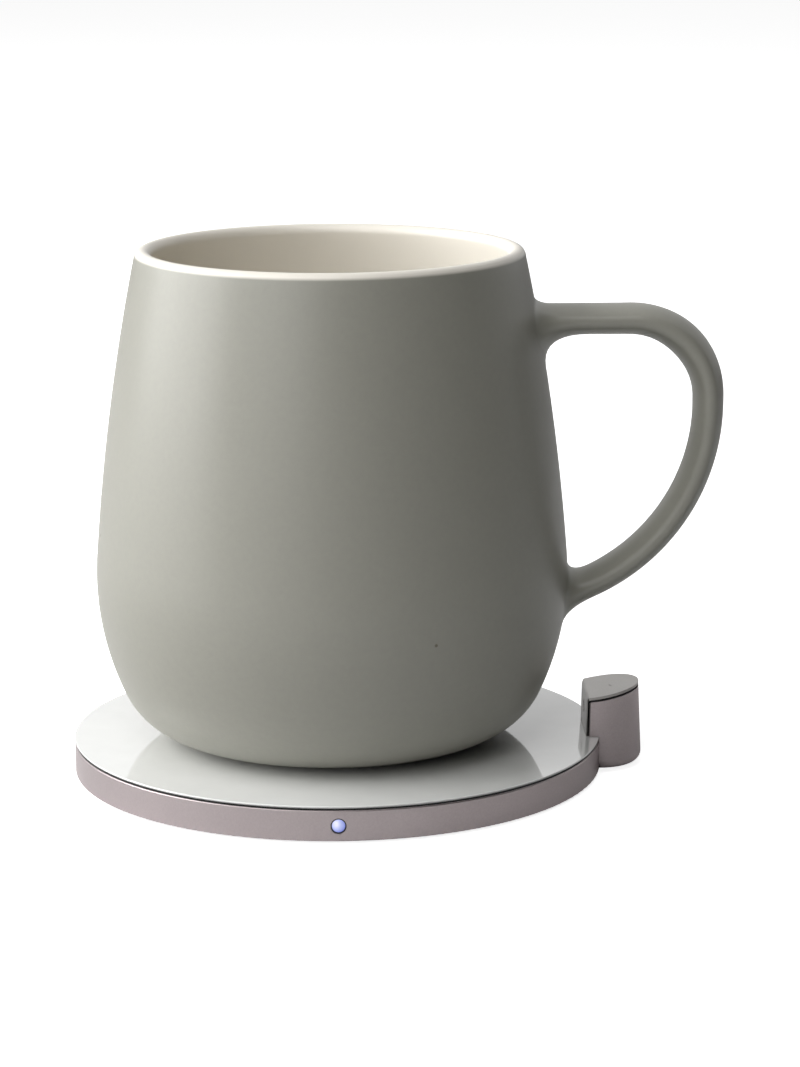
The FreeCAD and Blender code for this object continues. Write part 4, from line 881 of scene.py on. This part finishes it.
@dataclass
class Mug:
    """The stoneware mug: a turned wall with a handle that grows out of it.

    Attributes:
        floor: The level of the plate that it stands on, mm.
        height: Its height, mm.
        wall: The thickness of its wall, mm.
        rim_radius: The radius of its rim, to the middle of the wall, mm.
        belly_radius: Its widest radius, mm.
        belly_height: The height of its widest part, mm.
        belly_curve: The radius of the belly's arc, mm.
        upper_curve: The radius of the upper wall's arc, mm.
        side_curve: The radius of the arc from the belly to the foot, mm.
        foot_height: The height of its foot ring, mm.
        foot_radius: The outer radius of its foot ring, mm.
        foot_width: The width of its foot ring, mm.
        foot_round: The rounding of the foot ring's edges, mm.
        recess: The depth of the recess inside the foot ring, mm.
        columns: How many steps go round the wall.
        patch_columns: How many columns each side of the handle are refilled round its roots.
        patch_start: The height where that refilled patch starts, mm.
        patch_end: How far under the mug's top it ends, mm.
        lip_start: How far over the rim's middle the inner glaze starts, mm.
        lip_fade: The width over which it takes over, mm.
        bare_height: How far up its foot the clay stays bare, mm.
        bare_spread: How far round its foot, mm.
        lining_height: How far over its foot the inner glaze starts, mm.
        stand: How far along X it stands from the middle of the plate, mm.
        film_radius: The radius of the metal film under it, mm.
        film_levels: The heights of the film's two faces, mm.
        handle: The mug's handle.
    """

    floor: float = 7.4
    height: float = 97.15
    wall: float = 3.3
    rim_radius: float = 38.1
    belly_radius: float = 46.6
    belly_height: float = 32.6
    belly_curve: float = 55.0
    upper_curve: float = 452.0
    side_curve: float = 15.0
    foot_height: float = 0.74
    foot_radius: float = 23.6
    foot_width: float = 2.6
    foot_round: float = 0.45
    recess: float = 0.9
    columns: int = 240
    patch_columns: int = 13
    patch_start: float = 24.0
    patch_end: float = 3.0
    lip_start: float = 0.35
    lip_fade: float = 0.5
    bare_height: float = 0.3
    bare_spread: float = 0.1
    lining_height: float = 3.0
    stand: float = -0.8
    film_radius: float = 20.8
    film_levels: Point = (7.9, 8.3)
    handle: Handle = field(default_factory=Handle)

    def centres(self) -> dict[str, Point]:
        """The centres of the wall's arcs and of the rim's round.

        Returns:
            The centres of side, belly, upper and rim, as radius and height in mm.
        """
        belly = (self.belly_radius - self.belly_curve, self.floor + self.belly_height)
        lip = (self.rim_radius, self.floor + self.height - self.wall / 2)
        upper = circles_meet(belly, self.upper_curve - self.belly_curve, lip, self.upper_curve)
        reach = self.upper_curve - self.wall / 2
        rim = (upper[0] + math.sqrt(reach ** 2 - (lip[1] - upper[1]) ** 2), lip[1])
        rise = self.floor + self.foot_height + self.side_curve - belly[1]
        side = (belly[0] + math.sqrt((self.belly_curve - self.side_curve) ** 2 - rise ** 2), belly[1] + rise)
        return {"side": side, "belly": belly, "upper": upper, "rim": rim}

    def skin_radius(self, level: np.ndarray | float) -> np.ndarray:
        """The wall's outer radius at a height.

        Args:
            level: One height or many, mm.

        Returns:
            The radius at each, mm.
        """
        centres = self.centres()
        level = np.asarray(level, float)
        joins = [(centres["side"], self.side_curve), (centres["belly"], self.belly_curve),
                 (centres["upper"], self.upper_curve)]
        low = meeting_level(centres["belly"], centres["side"], self.belly_curve)
        high = meeting_level(centres["upper"], centres["belly"], self.upper_curve)
        radii = [centre[0] + np.sqrt(np.maximum(reach ** 2 - (level - centre[1]) ** 2, 0))
                 for centre, reach in joins]
        return np.where(level < low, radii[0], np.where(level < high, radii[1], radii[2]))

    def wall_line(self) -> tuple[list[Point], int, int]:
        """The whole section, from the middle of the recess over the rim to the middle of the floor.

        Returns:
            The points, the number of the skin's first point and the number of the rim's first point.
        """
        centres = self.centres()
        side, belly, upper, rim = (centres[name] for name in ("side", "belly", "upper", "rim"))
        turn_side = math.atan2(side[1] - belly[1], side[0] - belly[0])
        turn_belly = math.atan2(belly[1] - upper[1], belly[0] - upper[0])
        turn_rim = math.atan2(rim[1] - upper[1], rim[0] - upper[0])
        soft, inner = self.foot_round, self.foot_radius - self.foot_width
        ceiling = self.floor + self.recess
        line = [(0.0, ceiling)] + [(inner * share, ceiling) for share in (0.3, 0.6, 0.9)]
        line += arc_line((inner - soft, ceiling - soft), soft, math.pi / 2, 0, 4)
        line += arc_line((inner + soft, self.floor + soft), soft, math.pi, 1.5 * math.pi, 5)
        line += arc_line((self.foot_radius - soft, self.floor + soft), soft, -math.pi / 2, 0, 5)
        skin = len(line)
        line += arc_line(side, self.side_curve, -math.pi / 2, turn_side, 26)
        line += arc_line(belly, self.belly_curve, turn_side, turn_belly, 26)[1:]
        line += arc_line(upper, self.upper_curve, turn_belly, turn_rim, 34)[1:]
        crown = len(line)
        line += arc_line(rim, self.wall / 2, turn_rim, turn_rim + math.pi, 16)[1:]
        line += arc_line(upper, self.upper_curve - self.wall, turn_rim, turn_belly, 34)[1:]
        line += arc_line(belly, self.belly_curve - self.wall, turn_belly, turn_side, 26)[1:]
        line += arc_line(side, self.side_curve - self.wall, turn_side, -math.pi / 2, 18)[1:]
        base = line[-1]
        line += [(base[0] * share, base[1]) for share in (0.75, 0.5, 0.25)] + [(0.0, base[1])]
        return line, skin, crown

    def build(self) -> list[bpy.types.Object]:
        """Builds the stoneware and the metal film fired onto the recess under it.

        Returns:
            The pieces.
        """
        return [self.build_stoneware(), self.build_film()]

    def build_film(self) -> bpy.types.Object:
        """Builds the film, a thin disc with a rounded rim.

        Returns:
            The film.
        """
        low, high = self.film_levels
        edge = (high - low) / 2
        rim = arc_line((self.film_radius - edge, low + edge), edge, -math.pi / 2, math.pi / 2, 8)
        points, faces = turned([(0.0, low), *rim, (0.0, high)], 96)
        return make_object("heater_film_fired", points + [self.stand, 0, 0], faces, HEATER_FILM, Body.MUG,
                           ("heater_film",), "film_metal")

    def build_stoneware(self) -> bpy.types.Object:
        """Builds the wall, opens it at the handle's roots and grows the handle out of it.

        Returns:
            The mug's wall and handle as one closed piece.
        """
        line, skin, crown = self.wall_line()
        points, faces = turned(line, self.columns)
        top = self.floor + self.height - self.patch_end
        rows = [place for place in range(skin, crown) if self.patch_start < line[place][1] < top]
        low, high = rows[0], rows[-1]
        # The pole under the foot takes one point, and every row after it a full ring
        first_ring = 1 + (low - 1) * self.columns
        count = high - low + 1
        reach = self.patch_columns

        def number(row: int, column: int) -> int:
            """The number of the wall point in a row of the patch and a column from the handle's plane."""
            return first_ring + row * self.columns + column % self.columns

        taken = {number(row, column) for row in range(count) for column in range(-reach, reach + 1)}
        faces = [face for face in faces if not taken.issuperset(face)]
        points, faces = self.handle.grow(self, points, faces, number, count)
        piece = make_object("mug_stoneware", points + [self.stand, 0, 0], faces, STONEWARE, Body.MUG,
                            ("mug_body", "mug_handle"), "glazed_stoneware")
        self.paint(piece, points)
        return piece

    def paint(self, piece: bpy.types.Object, co: np.ndarray) -> None:
        """Marks the lining and the bare foot on the mesh, for the glaze to follow.

        Args:
            piece: The mug.
            co: Its points about its own axis, mm.
        """
        mesh = piece.data
        radius = np.hypot(co[:, 0], co[:, 1])
        rim = self.centres()["rim"]
        level = np.minimum(co[:, 2], rim[1])
        inside = radius < self.skin_radius(level) - self.wall / 2
        inside &= co[:, 2] > self.floor + self.lining_height
        over = np.clip((co[:, 2] - rim[1] - self.lip_start) / self.lip_fade, 0, 1)
        lining = np.where(co[:, 2] > rim[1], np.maximum(over, (radius < rim[0]).astype(float)),
                          inside.astype(float))
        bare = (co[:, 2] < self.floor + self.bare_height) & (radius < self.foot_radius + self.bare_spread)
        for name, amounts in (("lining", lining), ("bare", bare.astype(float))):
            mark = mesh.attributes.new(name, "FLOAT", "POINT")
            mark.data.foreach_set("value", amounts)


@dataclass(frozen=True)
class Draft:
    """The taper that lets the tower's pieces leave their dies: they narrow towards the top.

    Attributes:
        axis: How far out the tower's axis stands, mm.
        radius: The tower's radius, mm.
        inset: How far inside the axis its flat face stands, mm.
        level: The height where its pieces keep their drawn size, mm.
        angle: How far the walls lean in, degrees.
        skin: How near the outer form an edge lies that gets broken, mm.
        base: The base's radius, mm.
        gap: How far the shell is cut back from the base's band, mm.
        fit: How much of that gap stays open, mm.
        seam: Depths behind the flat face as drawn: the cover's back, the gasket's back and the end of
            the change, mm.
        closed_seam: The same depths with the seam drawn tight, mm.
        beyond: A depth past the whole tower, mm.
    """

    axis: float = 52.5
    radius: float = 8.0
    inset: float = 3.1
    level: float = 11.7
    angle: float = 2.4
    skin: float = 0.45
    base: float = 52.5
    gap: float = 0.15
    fit: float = 0.03
    seam: Place = (0.5, 0.95, 2.0)
    closed_seam: Place = (0.25, 0.5, 2.0)
    beyond: float = 99.0

    def lean(self, mesh: bpy.types.Mesh) -> None:
        """Leans a mesh's walls towards the axis and draws its seams tight.

        Args:
            mesh: The mesh.
        """
        face = self.axis - self.inset
        for vertex in mesh.vertices:
            x, y, z = vertex.co / MM
            cut = abs(math.hypot(x, y) - self.base - self.gap) < self.gap / 5
            x = face + float(np.interp(x - face, (0, *self.seam, self.beyond),
                                       (0, *self.closed_seam, self.beyond)))
            share = 1 - (z - self.level) * math.tan(math.radians(self.angle)) / self.radius
            x, y = self.axis + (x - self.axis) * share, y * share
            if cut:
                x = math.sqrt((self.base + self.fit) ** 2 - y ** 2)
            vertex.co.x, vertex.co.y = x * MM, y * MM

    def mark_skin(self, mesh: bpy.types.Mesh) -> None:
        """Marks the sharp edges of a mesh's outer skin, which are the ones to break.

        Args:
            mesh: The mesh.
        """
        with editing(mesh) as shape:
            weight = shape.edges.layers.float.new("bevel_weight_edge")
            for edge in shape.edges:
                middle = (edge.verts[0].co + edge.verts[1].co) / 2 / MM
                lean = (middle.z - self.level) * math.tan(math.radians(self.angle))
                outer = math.hypot(middle.x - self.axis, middle.y) > self.radius - lean - self.skin
                front = middle.x < self.axis - self.inset + self.skin and middle.z > self.level - self.inset
                sharp = len(edge.link_faces) == 2 and edge.calc_face_angle() > SHARP
                edge[weight] = float(sharp and (outer or front))


@dataclass
class Housing:
    """The warmer's outer pieces: each keeps its CAD form and gets its edges broken.

    Attributes:
        band_edge: The break on the band's openings and the base's cover, mm.
        shell_edge: The break on the tower's shell, mm.
        cover_edge: The rounding of the bent cover's sheet, mm.
        small_edge: The break on the finest pieces, mm.
        flat: The angle under which two facets count as one face, degrees.
        draft: The tower's taper.
    """

    band_edge: float = 0.08
    shell_edge: float = 0.1
    cover_edge: float = 0.2
    small_edge: float = 0.05
    flat: float = 0.4
    draft: Draft = field(default_factory=Draft)

    def build(self, nodes: Mapping[str, bpy.types.Object]) -> list[bpy.types.Object]:
        """Builds the outer pieces.

        Args:
            nodes: The CAD nodes by name.

        Returns:
            The pieces.
        """
        plain = (
            ("side_ring", "band_with_broken_edges", BAND_ALUMINIUM, self.band_edge, "anodised_aluminium"),
            ("inlet_shell", "inlet_shell_with_rolled_mouth", INLET_STEEL, self.small_edge, "inlet_steel"),
            ("bottom_cover", "bottom_cover_with_broken_edges", DARK_MOULDING, self.band_edge, "dark_moulding"),
        )
        leaning = (
            ("tower_shell", "tower_shell_drafted", BAND_ALUMINIUM, self.shell_edge, "anodised_aluminium"),
            ("tower_cover", "tower_cover_drafted", COVER_ALUMINIUM, self.cover_edge, "cover_aluminium"),
            # The gasket's dull black is painted shade for the dark seam line under the cover
            ("tower_gasket", "tower_gasket_drafted", DARK_SEAM_SHADE, self.small_edge, "black_bond"),
        )
        pieces = [self.soften(nodes[node], *rest) for node, *rest in plain]
        return pieces + [self.soften(nodes[node], *rest, draft=self.draft) for node, *rest in leaning]

    def soften(self, node: bpy.types.Object, name: str, finish: Finish, width: float, slot: str,
               draft: Draft | None = None) -> bpy.types.Object:
        """Copies a CAD node's form and breaks its sharp edges.

        Args:
            node: The CAD node.
            name: The new piece's name.
            finish: What it is finished in.
            width: The width of the break, mm.
            slot: The record's material slot.
            draft: The taper that its walls take.

        Returns:
            The piece that stands for the node.
        """
        mesh = node.data.copy()
        mesh.name = name
        with editing(mesh) as shape:
            bmesh.ops.remove_doubles(shape, verts=shape.verts, dist=WELD)
            bmesh.ops.dissolve_limit(shape, angle_limit=math.radians(self.flat), verts=shape.verts,
                                     edges=shape.edges, delimit={"NORMAL"})
        if draft:
            draft.lean(mesh)
            draft.mark_skin(mesh)
        if mesh.has_custom_normals:
            mesh.attributes.remove(mesh.attributes["custom_normal"])
        mesh.materials.clear()
        mesh.materials.append(finish.make())
        mesh.polygons.foreach_set("use_smooth", [True] * len(mesh.polygons))
        piece = add_object(name, mesh)
        bevel = piece.modifiers.new("edge_break", "BEVEL")
        bevel.width = width * MM
        bevel.segments = 3
        bevel.limit_method = "WEIGHT" if draft else "ANGLE"
        bevel.angle_limit = SHARP
        weighted = piece.modifiers.new("even_shading", "WEIGHTED_NORMAL")
        weighted.keep_sharp = True
        settle(piece, Body.WARMER, (node.name,), slot)
        return piece


@dataclass
class GlassPlate:
    """The white glass plate, with a fine polished edge and a shadow groove under its lip.

    Attributes:
        edge: The radius of its polished edge, mm.
        lip: The height of the lip's side, mm.
        groove: How far the groove under the lip goes in, mm.
        steps: How many steps go round it.
    """

    edge: float = 0.16
    lip: float = 0.32
    groove: float = 0.3
    steps: int = 256

    def build(self) -> bpy.types.Object:
        """Builds the plate in the place of its CAD node.

        Returns:
            The plate.
        """
        low, high = (np.array(corner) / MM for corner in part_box("glass_plate"))
        radius, under, top = float(high[0]), float(low[2]), float(high[2])
        inner = radius - self.groove
        line = [(0.0, under), (inner, under), (inner, top - self.lip)]
        half = self.edge / 2
        line += arc_line((radius - half, top - self.lip + half), half, -math.pi / 2, 0, 4)
        line += arc_line((radius - self.edge, top - self.edge), self.edge, 0, math.pi / 2, 8)
        points, faces = turned(line + [(0.0, top)], self.steps)
        return make_object("glass_plate_polished", points, faces, WHITE_GLASS, Body.WARMER,
                           ("glass_plate",), "white_glass")


@dataclass
class Screws:
    """The screws that show on the underside, with a turned head and a cross recess.

    Attributes:
        arm: The half length of the recess's arms, as a share of the head's radius.
        arm_width: The half width of its arms, as a share of the head's radius.
        depth: Its depth, as a share of the head's.
        draw_in: The size of the recess's floor, as a share of its mouth.
        edge: The rounding of the head's edge, mm.
        tip: The chamfer of the shank's tip, mm.
        steps: How many steps go round the head.
        circle: The radius of the circle that the cover's screws stand on, mm.
        post: How far out the tower's screw stands, mm.
        levels: The heights of the heads' undersides, for the cover and for the tower, mm.
        heads: The radius and depth of each head, mm.
        shanks: The radius and length of each shank, mm.
    """

    arm: float = 0.58
    arm_width: float = 0.14
    depth: float = 0.6
    draw_in: float = 0.7
    edge: float = 0.18
    tip: float = 0.3
    steps: int = 48
    circle: float = 38.0
    post: float = 56.4
    levels: Point = (0.8, 0.95)
    heads: tuple[Point, Point] = ((1.9, 0.8), (1.7, 0.7))
    shanks: tuple[Point, Point] = ((0.8, 3.4), (0.9, 8.4))

    def build(self) -> list[bpy.types.Object]:
        """Builds the cover's screws and the tower's one screw.

        Returns:
            The pieces.
        """
        aside = self.circle * math.sqrt(0.5)
        corners = [(aside * x, aside * y) for x in (1, -1) for y in (1, -1)]
        kinds = (("cover_screws", corners), ("tower_post_screw", [(self.post, 0.0)]))
        return [self.batch(f"{node}_cross_recessed", places, *sizes, node) for (node, places), *sizes
                in zip(kinds, self.levels, self.heads, self.shanks)]

    def batch(self, name: str, places: Sequence[Point], level: float, head: Point, shank: Point,
              node: str) -> bpy.types.Object:
        """Builds one node's screws as one piece.

        Args:
            name: The piece's name.
            places: Where the screws stand, mm.
            level: The height of the heads' undersides, which face down, mm.
            head: The radius and depth of the head, mm.
            shank: The radius and length of the shank, mm.
            node: The CAD node that the piece stands for.

        Returns:
            The piece.
        """
        points, faces = self.screw(level, head, shank)
        everything, all_faces = [], []
        for x, y in places:
            all_faces += [[corner + len(everything) * len(points) for corner in face] for face in faces]
            everything.append(points + np.array([x, y, 0.0]))
        return make_object(name, np.vstack(everything), all_faces, SCREW_STEEL, Body.WARMER, (node,),
                           "screw_steel")

    def screw(self, level: float, head: Point, shank: Point) -> tuple[np.ndarray, list[list[int]]]:
        """Builds one screw, with its cross recess sunk into the head.

        Args:
            level: The height of the head's underside, mm.
            head: The radius and depth of the head, mm.
            shank: The radius and length of the shank, mm.

        Returns:
            The points and the faces.
        """
        radius, depth = head
        reach, half = radius * self.arm, radius * self.arm_width
        outline = []
        for quarter in range(4):
            turn = quarter * math.pi / 2
            for x, y in ((half, half), (reach, half), (reach, -half)):
                outline.append((x * math.cos(turn) + y * math.sin(turn), y * math.cos(turn) - x * math.sin(turn)))
        edge = min(self.edge, depth / 3)
        line = arc_line((radius - edge, level + edge), edge, -math.pi / 2, 0, 4)
        seat, end = level + depth, level + depth + shank[1]
        line += [(radius, seat), (shank[0], seat), (shank[0], end - self.tip), (shank[0] - self.tip, end),
                 (0.0, end)]
        points, faces = turned(line, self.steps)
        cross, first = len(outline), len(points)
        rim = np.array([(x, y, level) for x, y in outline])
        sunk = np.array([(x * self.draw_in, y * self.draw_in, level + depth * self.depth) for x, y in outline])
        points = np.vstack([points, rim, sunk])
        names = list(range(self.steps)) + list(range(first, first + cross))
        spots = [Vector(points[name][:2]) for name in names]
        face = fill_between(spots, [(0, self.steps), (self.steps, cross)], [np.array(outline)], names)
        faces += [triangle[::-1] for triangle in face]
        for place in range(cross):
            after = (place + 1) % cross
            faces.append([first + place, first + after, first + cross + after, first + cross + place])
        faces.append(list(range(first + cross, first + 2 * cross)))
        return points, faces


@dataclass
class InletContacts:
    """The plated contacts on both faces of the power inlet's tongue.

    Attributes:
        count: How many contacts each face has.
        pitch: The distance from one to the next, mm.
        width: The width of one, mm.
        length: The length of one, mm.
        proud: How far each stands off the tongue, mm.
        tongue: The tongue's thickness, mm.
        level: The height of the tongue's middle, mm.
        front: How far out the contacts reach along Y, mm.
    """

    count: int = 12
    pitch: float = 0.5
    width: float = 0.28
    length: float = 3.2
    proud: float = 0.03
    tongue: float = 0.7
    level: float = 3.575
    front: float = 50.9

    def build(self) -> bpy.types.Object:
        """Builds all contacts as one piece.

        Returns:
            The piece.
        """
        points, faces = [], []
        for side in (-1, 1):
            for place in range(self.count):
                middle = (place - (self.count - 1) / 2) * self.pitch
                foot = self.level + side * self.tongue / 2
                top = foot + side * self.proud
                half, slim = self.width / 2, self.width / 2 - self.proud
                ring = [(half, foot, 0.0), (slim, top, self.proud), (-slim, top, self.proud),
                        (-half, foot, 0.0)]
                first = len(points)
                for end, way in ((self.front, -1), (self.front - self.length, 1)):
                    points += [(middle + x, end + way * inset, z) for x, z, inset in ring]
                faces += [[first + corner for corner in face] for face in (
                    (0, 1, 5, 4), (1, 2, 6, 5), (2, 3, 7, 6), (0, 1, 2, 3), (7, 6, 5, 4), (3, 0, 4, 7))]
        piece = make_object("inlet_contacts", np.array(points), faces, GOLD_CONTACT, Body.WARMER, (),
                            "inlet_steel")
        with editing(piece.data) as shape:
            bmesh.ops.recalc_face_normals(shape, faces=shape.faces)
        return piece


@dataclass
class InnerPieces:
    """The CAD nodes that keep their own form and only take a finish."""

    finishes: dict[str, Finish] = field(default_factory=lambda: {
        "foot_ring": SILICONE, "coil_tray": BLACK_MOULDING, "ferrite_plate": FERRITE,
        "transmitter_coil": COIL_WIRE, "coil_leads": COIL_WIRE, "mica_sheet": MICA,
        "thermistor_post": SILICONE, "plate_thermistor": EPOXY, "main_board": BOARD,
        "board_screws": SCREW_STEEL, "power_chips": EPOXY, "tank_capacitors": CAPACITOR,
        "filter_inductor": EPOXY, "flex_connector": BLACK_MOULDING, "lamp_led": LED_CHIP,
        "light_pipe": LENS, "lamp_bezel": BLACK_MOULDING, "inlet_tongue": BLACK_MOULDING,
        # The glass bond's dull black is painted shade for the dark line round the glass
        "top_deck": BLACK_MOULDING, "glass_bond": DARK_SEAM_SHADE,
        "sensor_window": WINDOW, "sensor_head": EPOXY, "sensor_board": BOARD,
        "sensor_board_screws": SCREW_STEEL, "sensor_flex": RIBBON, "tower_screws": SCREW_STEEL,
    })

    def dress(self, nodes: Mapping[str, bpy.types.Object]) -> list[bpy.types.Object]:
        """Gives each of these nodes its finish.

        Args:
            nodes: The CAD nodes by name.

        Returns:
            The dressed nodes.
        """
        for name, finish in self.finishes.items():
            for slot in nodes[name].material_slots:
                slot.material = finish.make()
        return [nodes[name] for name in self.finishes]


@dataclass(frozen=True)
class SoftLamp:
    """One soft rectangular lamp.

    Attributes:
        name: Its name.
        place: Where it hangs, m.
        target: The point that it faces, m.
        width: Its width, m.
        height: Its height, m.
        watts: Its power.
    """

    name: str
    place: Place
    target: Place
    width: float
    height: float
    watts: float

    def hang(self) -> None:
        """Hangs the lamp in the scene."""
        light = bpy.data.lights.new(self.name, "AREA")
        light.shape = "RECTANGLE"
        light.size, light.size_y, light.energy = self.width, self.height, self.watts
        lamp = add_object(self.name, light)
        lamp.location = self.place
        lamp.rotation_euler = (Vector(self.target) - Vector(self.place)).to_track_quat("-Z", "Y").to_euler()


@dataclass
class Studio:
    """The floor, the soft lamps and the camera.

    Attributes:
        lens: The camera's focal length, mm.
        place: Where the camera stands, m.
        pitch: How far it looks down, radians.
        yaw: How far it turns to the right, radians.
        roll: How far it rolls, radians.
        floor_size: The floor's half width, m.
        backdrop: The floor's colour.
        bounce: The colour that it throws back as soft light.
        whiteness: The light that lifts the floor to white for the camera.
        horizon: Where the bright back wall starts and is full, as the Y of a direction.
        ambient: The world's soft light in front and behind.
        mirrored: The world's brightness in a reflection, in front and behind.
        lamps: The soft lamps: a large one at the left, a card in front of it and one overhead.
    """

    lens: float = 110.65
    place: Place = (0.0, -0.63425, 0.18853)
    pitch: float = 0.2189
    yaw: float = 0.0199
    roll: float = -0.0034
    floor_size: float = 6.0
    backdrop: str = "#F2F2F2"
    bounce: str = "#B8B8B8"
    whiteness: float = 0.85
    horizon: Point = (0.0, 0.45)
    ambient: Point = (0.0, 0.2)
    mirrored: Point = (0.03, 0.9)
    lamps: tuple[SoftLamp, ...] = (
        SoftLamp("key_softbox", (-1.20, 0.02, 0.60), (0.0, 0.0, 0.05), 1.4, 1.1, 24.5),
        SoftLamp("front_card", (-0.66, -1.15, 0.65), (0.0, 0.0, 0.04), 0.9, 0.8, 5.0),
        SoftLamp("top_card", (-0.22, -0.45, 1.1), (0.0, 0.0, 0.04), 0.9, 0.9, 5.5),
    )

    def build(self) -> None:
        """Builds the floor, the lamps, the world and the camera."""
        self.build_floor()
        self.build_world()
        self.build_camera()
        for lamp in self.lamps:
            lamp.hang()

    def build_floor(self) -> None:
        """Builds the floor, which looks white to the camera and still takes the shadow."""
        size = self.floor_size
        mesh = bpy.data.meshes.new("floor")
        mesh.from_pydata([(-size, -size, 0), (size, -size, 0), (size, size, 0), (-size, size, 0)], [],
                         [(0, 1, 2, 3)])
        floor = add_object("floor", mesh)
        material = bpy.data.materials.new("paper_backdrop_matt")
        tree = fresh_tree(material)
        seen = add_node(tree, "ShaderNodeLightPath")
        tone = blend(tree, seen.outputs["Is Diffuse Ray"], self.backdrop, self.bounce)
        paper = add_node(tree, "ShaderNodeBsdfDiffuse", links={"Color": tone})
        level = add_node(tree, "ShaderNodeMath", {"operation": "MULTIPLY", 1: self.whiteness},
                         {0: seen.outputs["Is Camera Ray"]})
        glow = add_node(tree, "ShaderNodeEmission", {"Color": (1, 1, 1, 1)}, {"Strength": level.outputs[0]})
        both = add_node(tree, "ShaderNodeAddShader", links={0: paper.outputs[0], 1: glow.outputs[0]})
        add_node(tree, "ShaderNodeOutputMaterial", links={"Surface": both.outputs[0]})
        mesh.materials.append(material)

    def build_world(self) -> None:
        """Builds a world that is white to the camera and behind the object, and dim elsewhere."""
        world = bpy.data.worlds.new("studio")
        tree = fresh_tree(world)
        seen = add_node(tree, "ShaderNodeLightPath")
        shown = add_node(tree, "ShaderNodeMath", {"operation": "MAXIMUM"},
                         {0: seen.outputs["Is Camera Ray"], 1: seen.outputs["Is Transmission Ray"]})
        way = add_node(tree, "ShaderNodeSeparateXYZ",
                       links={0: add_node(tree, "ShaderNodeTexCoord").outputs["Generated"]})
        soft, clear = (remap(tree, way.outputs["Y"], self.horizon, levels)
                       for levels in (self.ambient, self.mirrored))
        glossy = add_node(tree, "ShaderNodeMix", {"data_type": "FLOAT"},
                          {0: seen.outputs["Is Glossy Ray"], 2: soft, 3: clear})
        strength = add_node(tree, "ShaderNodeMath", {"operation": "MAXIMUM"},
                            {0: glossy.outputs[0], 1: shown.outputs[0]})
        back = add_node(tree, "ShaderNodeBackground", {"Color": (1, 1, 1, 1)}, {"Strength": strength.outputs[0]})
        add_node(tree, "ShaderNodeOutputWorld", links={"Surface": back.outputs[0]})
        bpy.context.scene.world = world

    def build_camera(self) -> None:
        """Builds the camera at the photograph's viewing angle."""
        ahead = Vector((math.sin(self.yaw) * math.cos(self.pitch), math.cos(self.yaw) * math.cos(self.pitch),
                        -math.sin(self.pitch)))
        right = Vector((math.cos(self.yaw), -math.sin(self.yaw), 0))
        up = right.cross(ahead)
        lean, rise = math.sin(self.roll), math.cos(self.roll)
        right, up = rise * right + lean * up, rise * up - lean * right
        turn = Matrix((right, up, -ahead)).transposed().to_4x4()
        camera = add_object("camera", bpy.data.cameras.new("camera"))
        camera.matrix_world = Matrix.Translation(self.place) @ turn
        camera.data.lens = self.lens
        camera.data.sensor_width = 36.0
        camera.data.sensor_fit = "AUTO"
        bpy.context.scene.camera = camera


def main() -> None:
    """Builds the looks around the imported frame, in the order in which the object is put together."""
    logging.basicConfig(level=logging.INFO, format="%(name)s %(message)s")
    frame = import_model()
    bpy.context.scene.view_settings.view_transform = "Standard"
    nodes = frame["nodes"]
    pieces = InnerPieces().dress(nodes) + Housing().build(nodes) + [GlassPlate().build()]
    pieces += Screws().build() + [InletContacts().build()] + Mug().build()
    for piece in pieces:
        LOG.info("%s: %d faces", piece.name, len(piece.data.polygons))
    Studio().build()


if __name__ == "__main__":
    main()
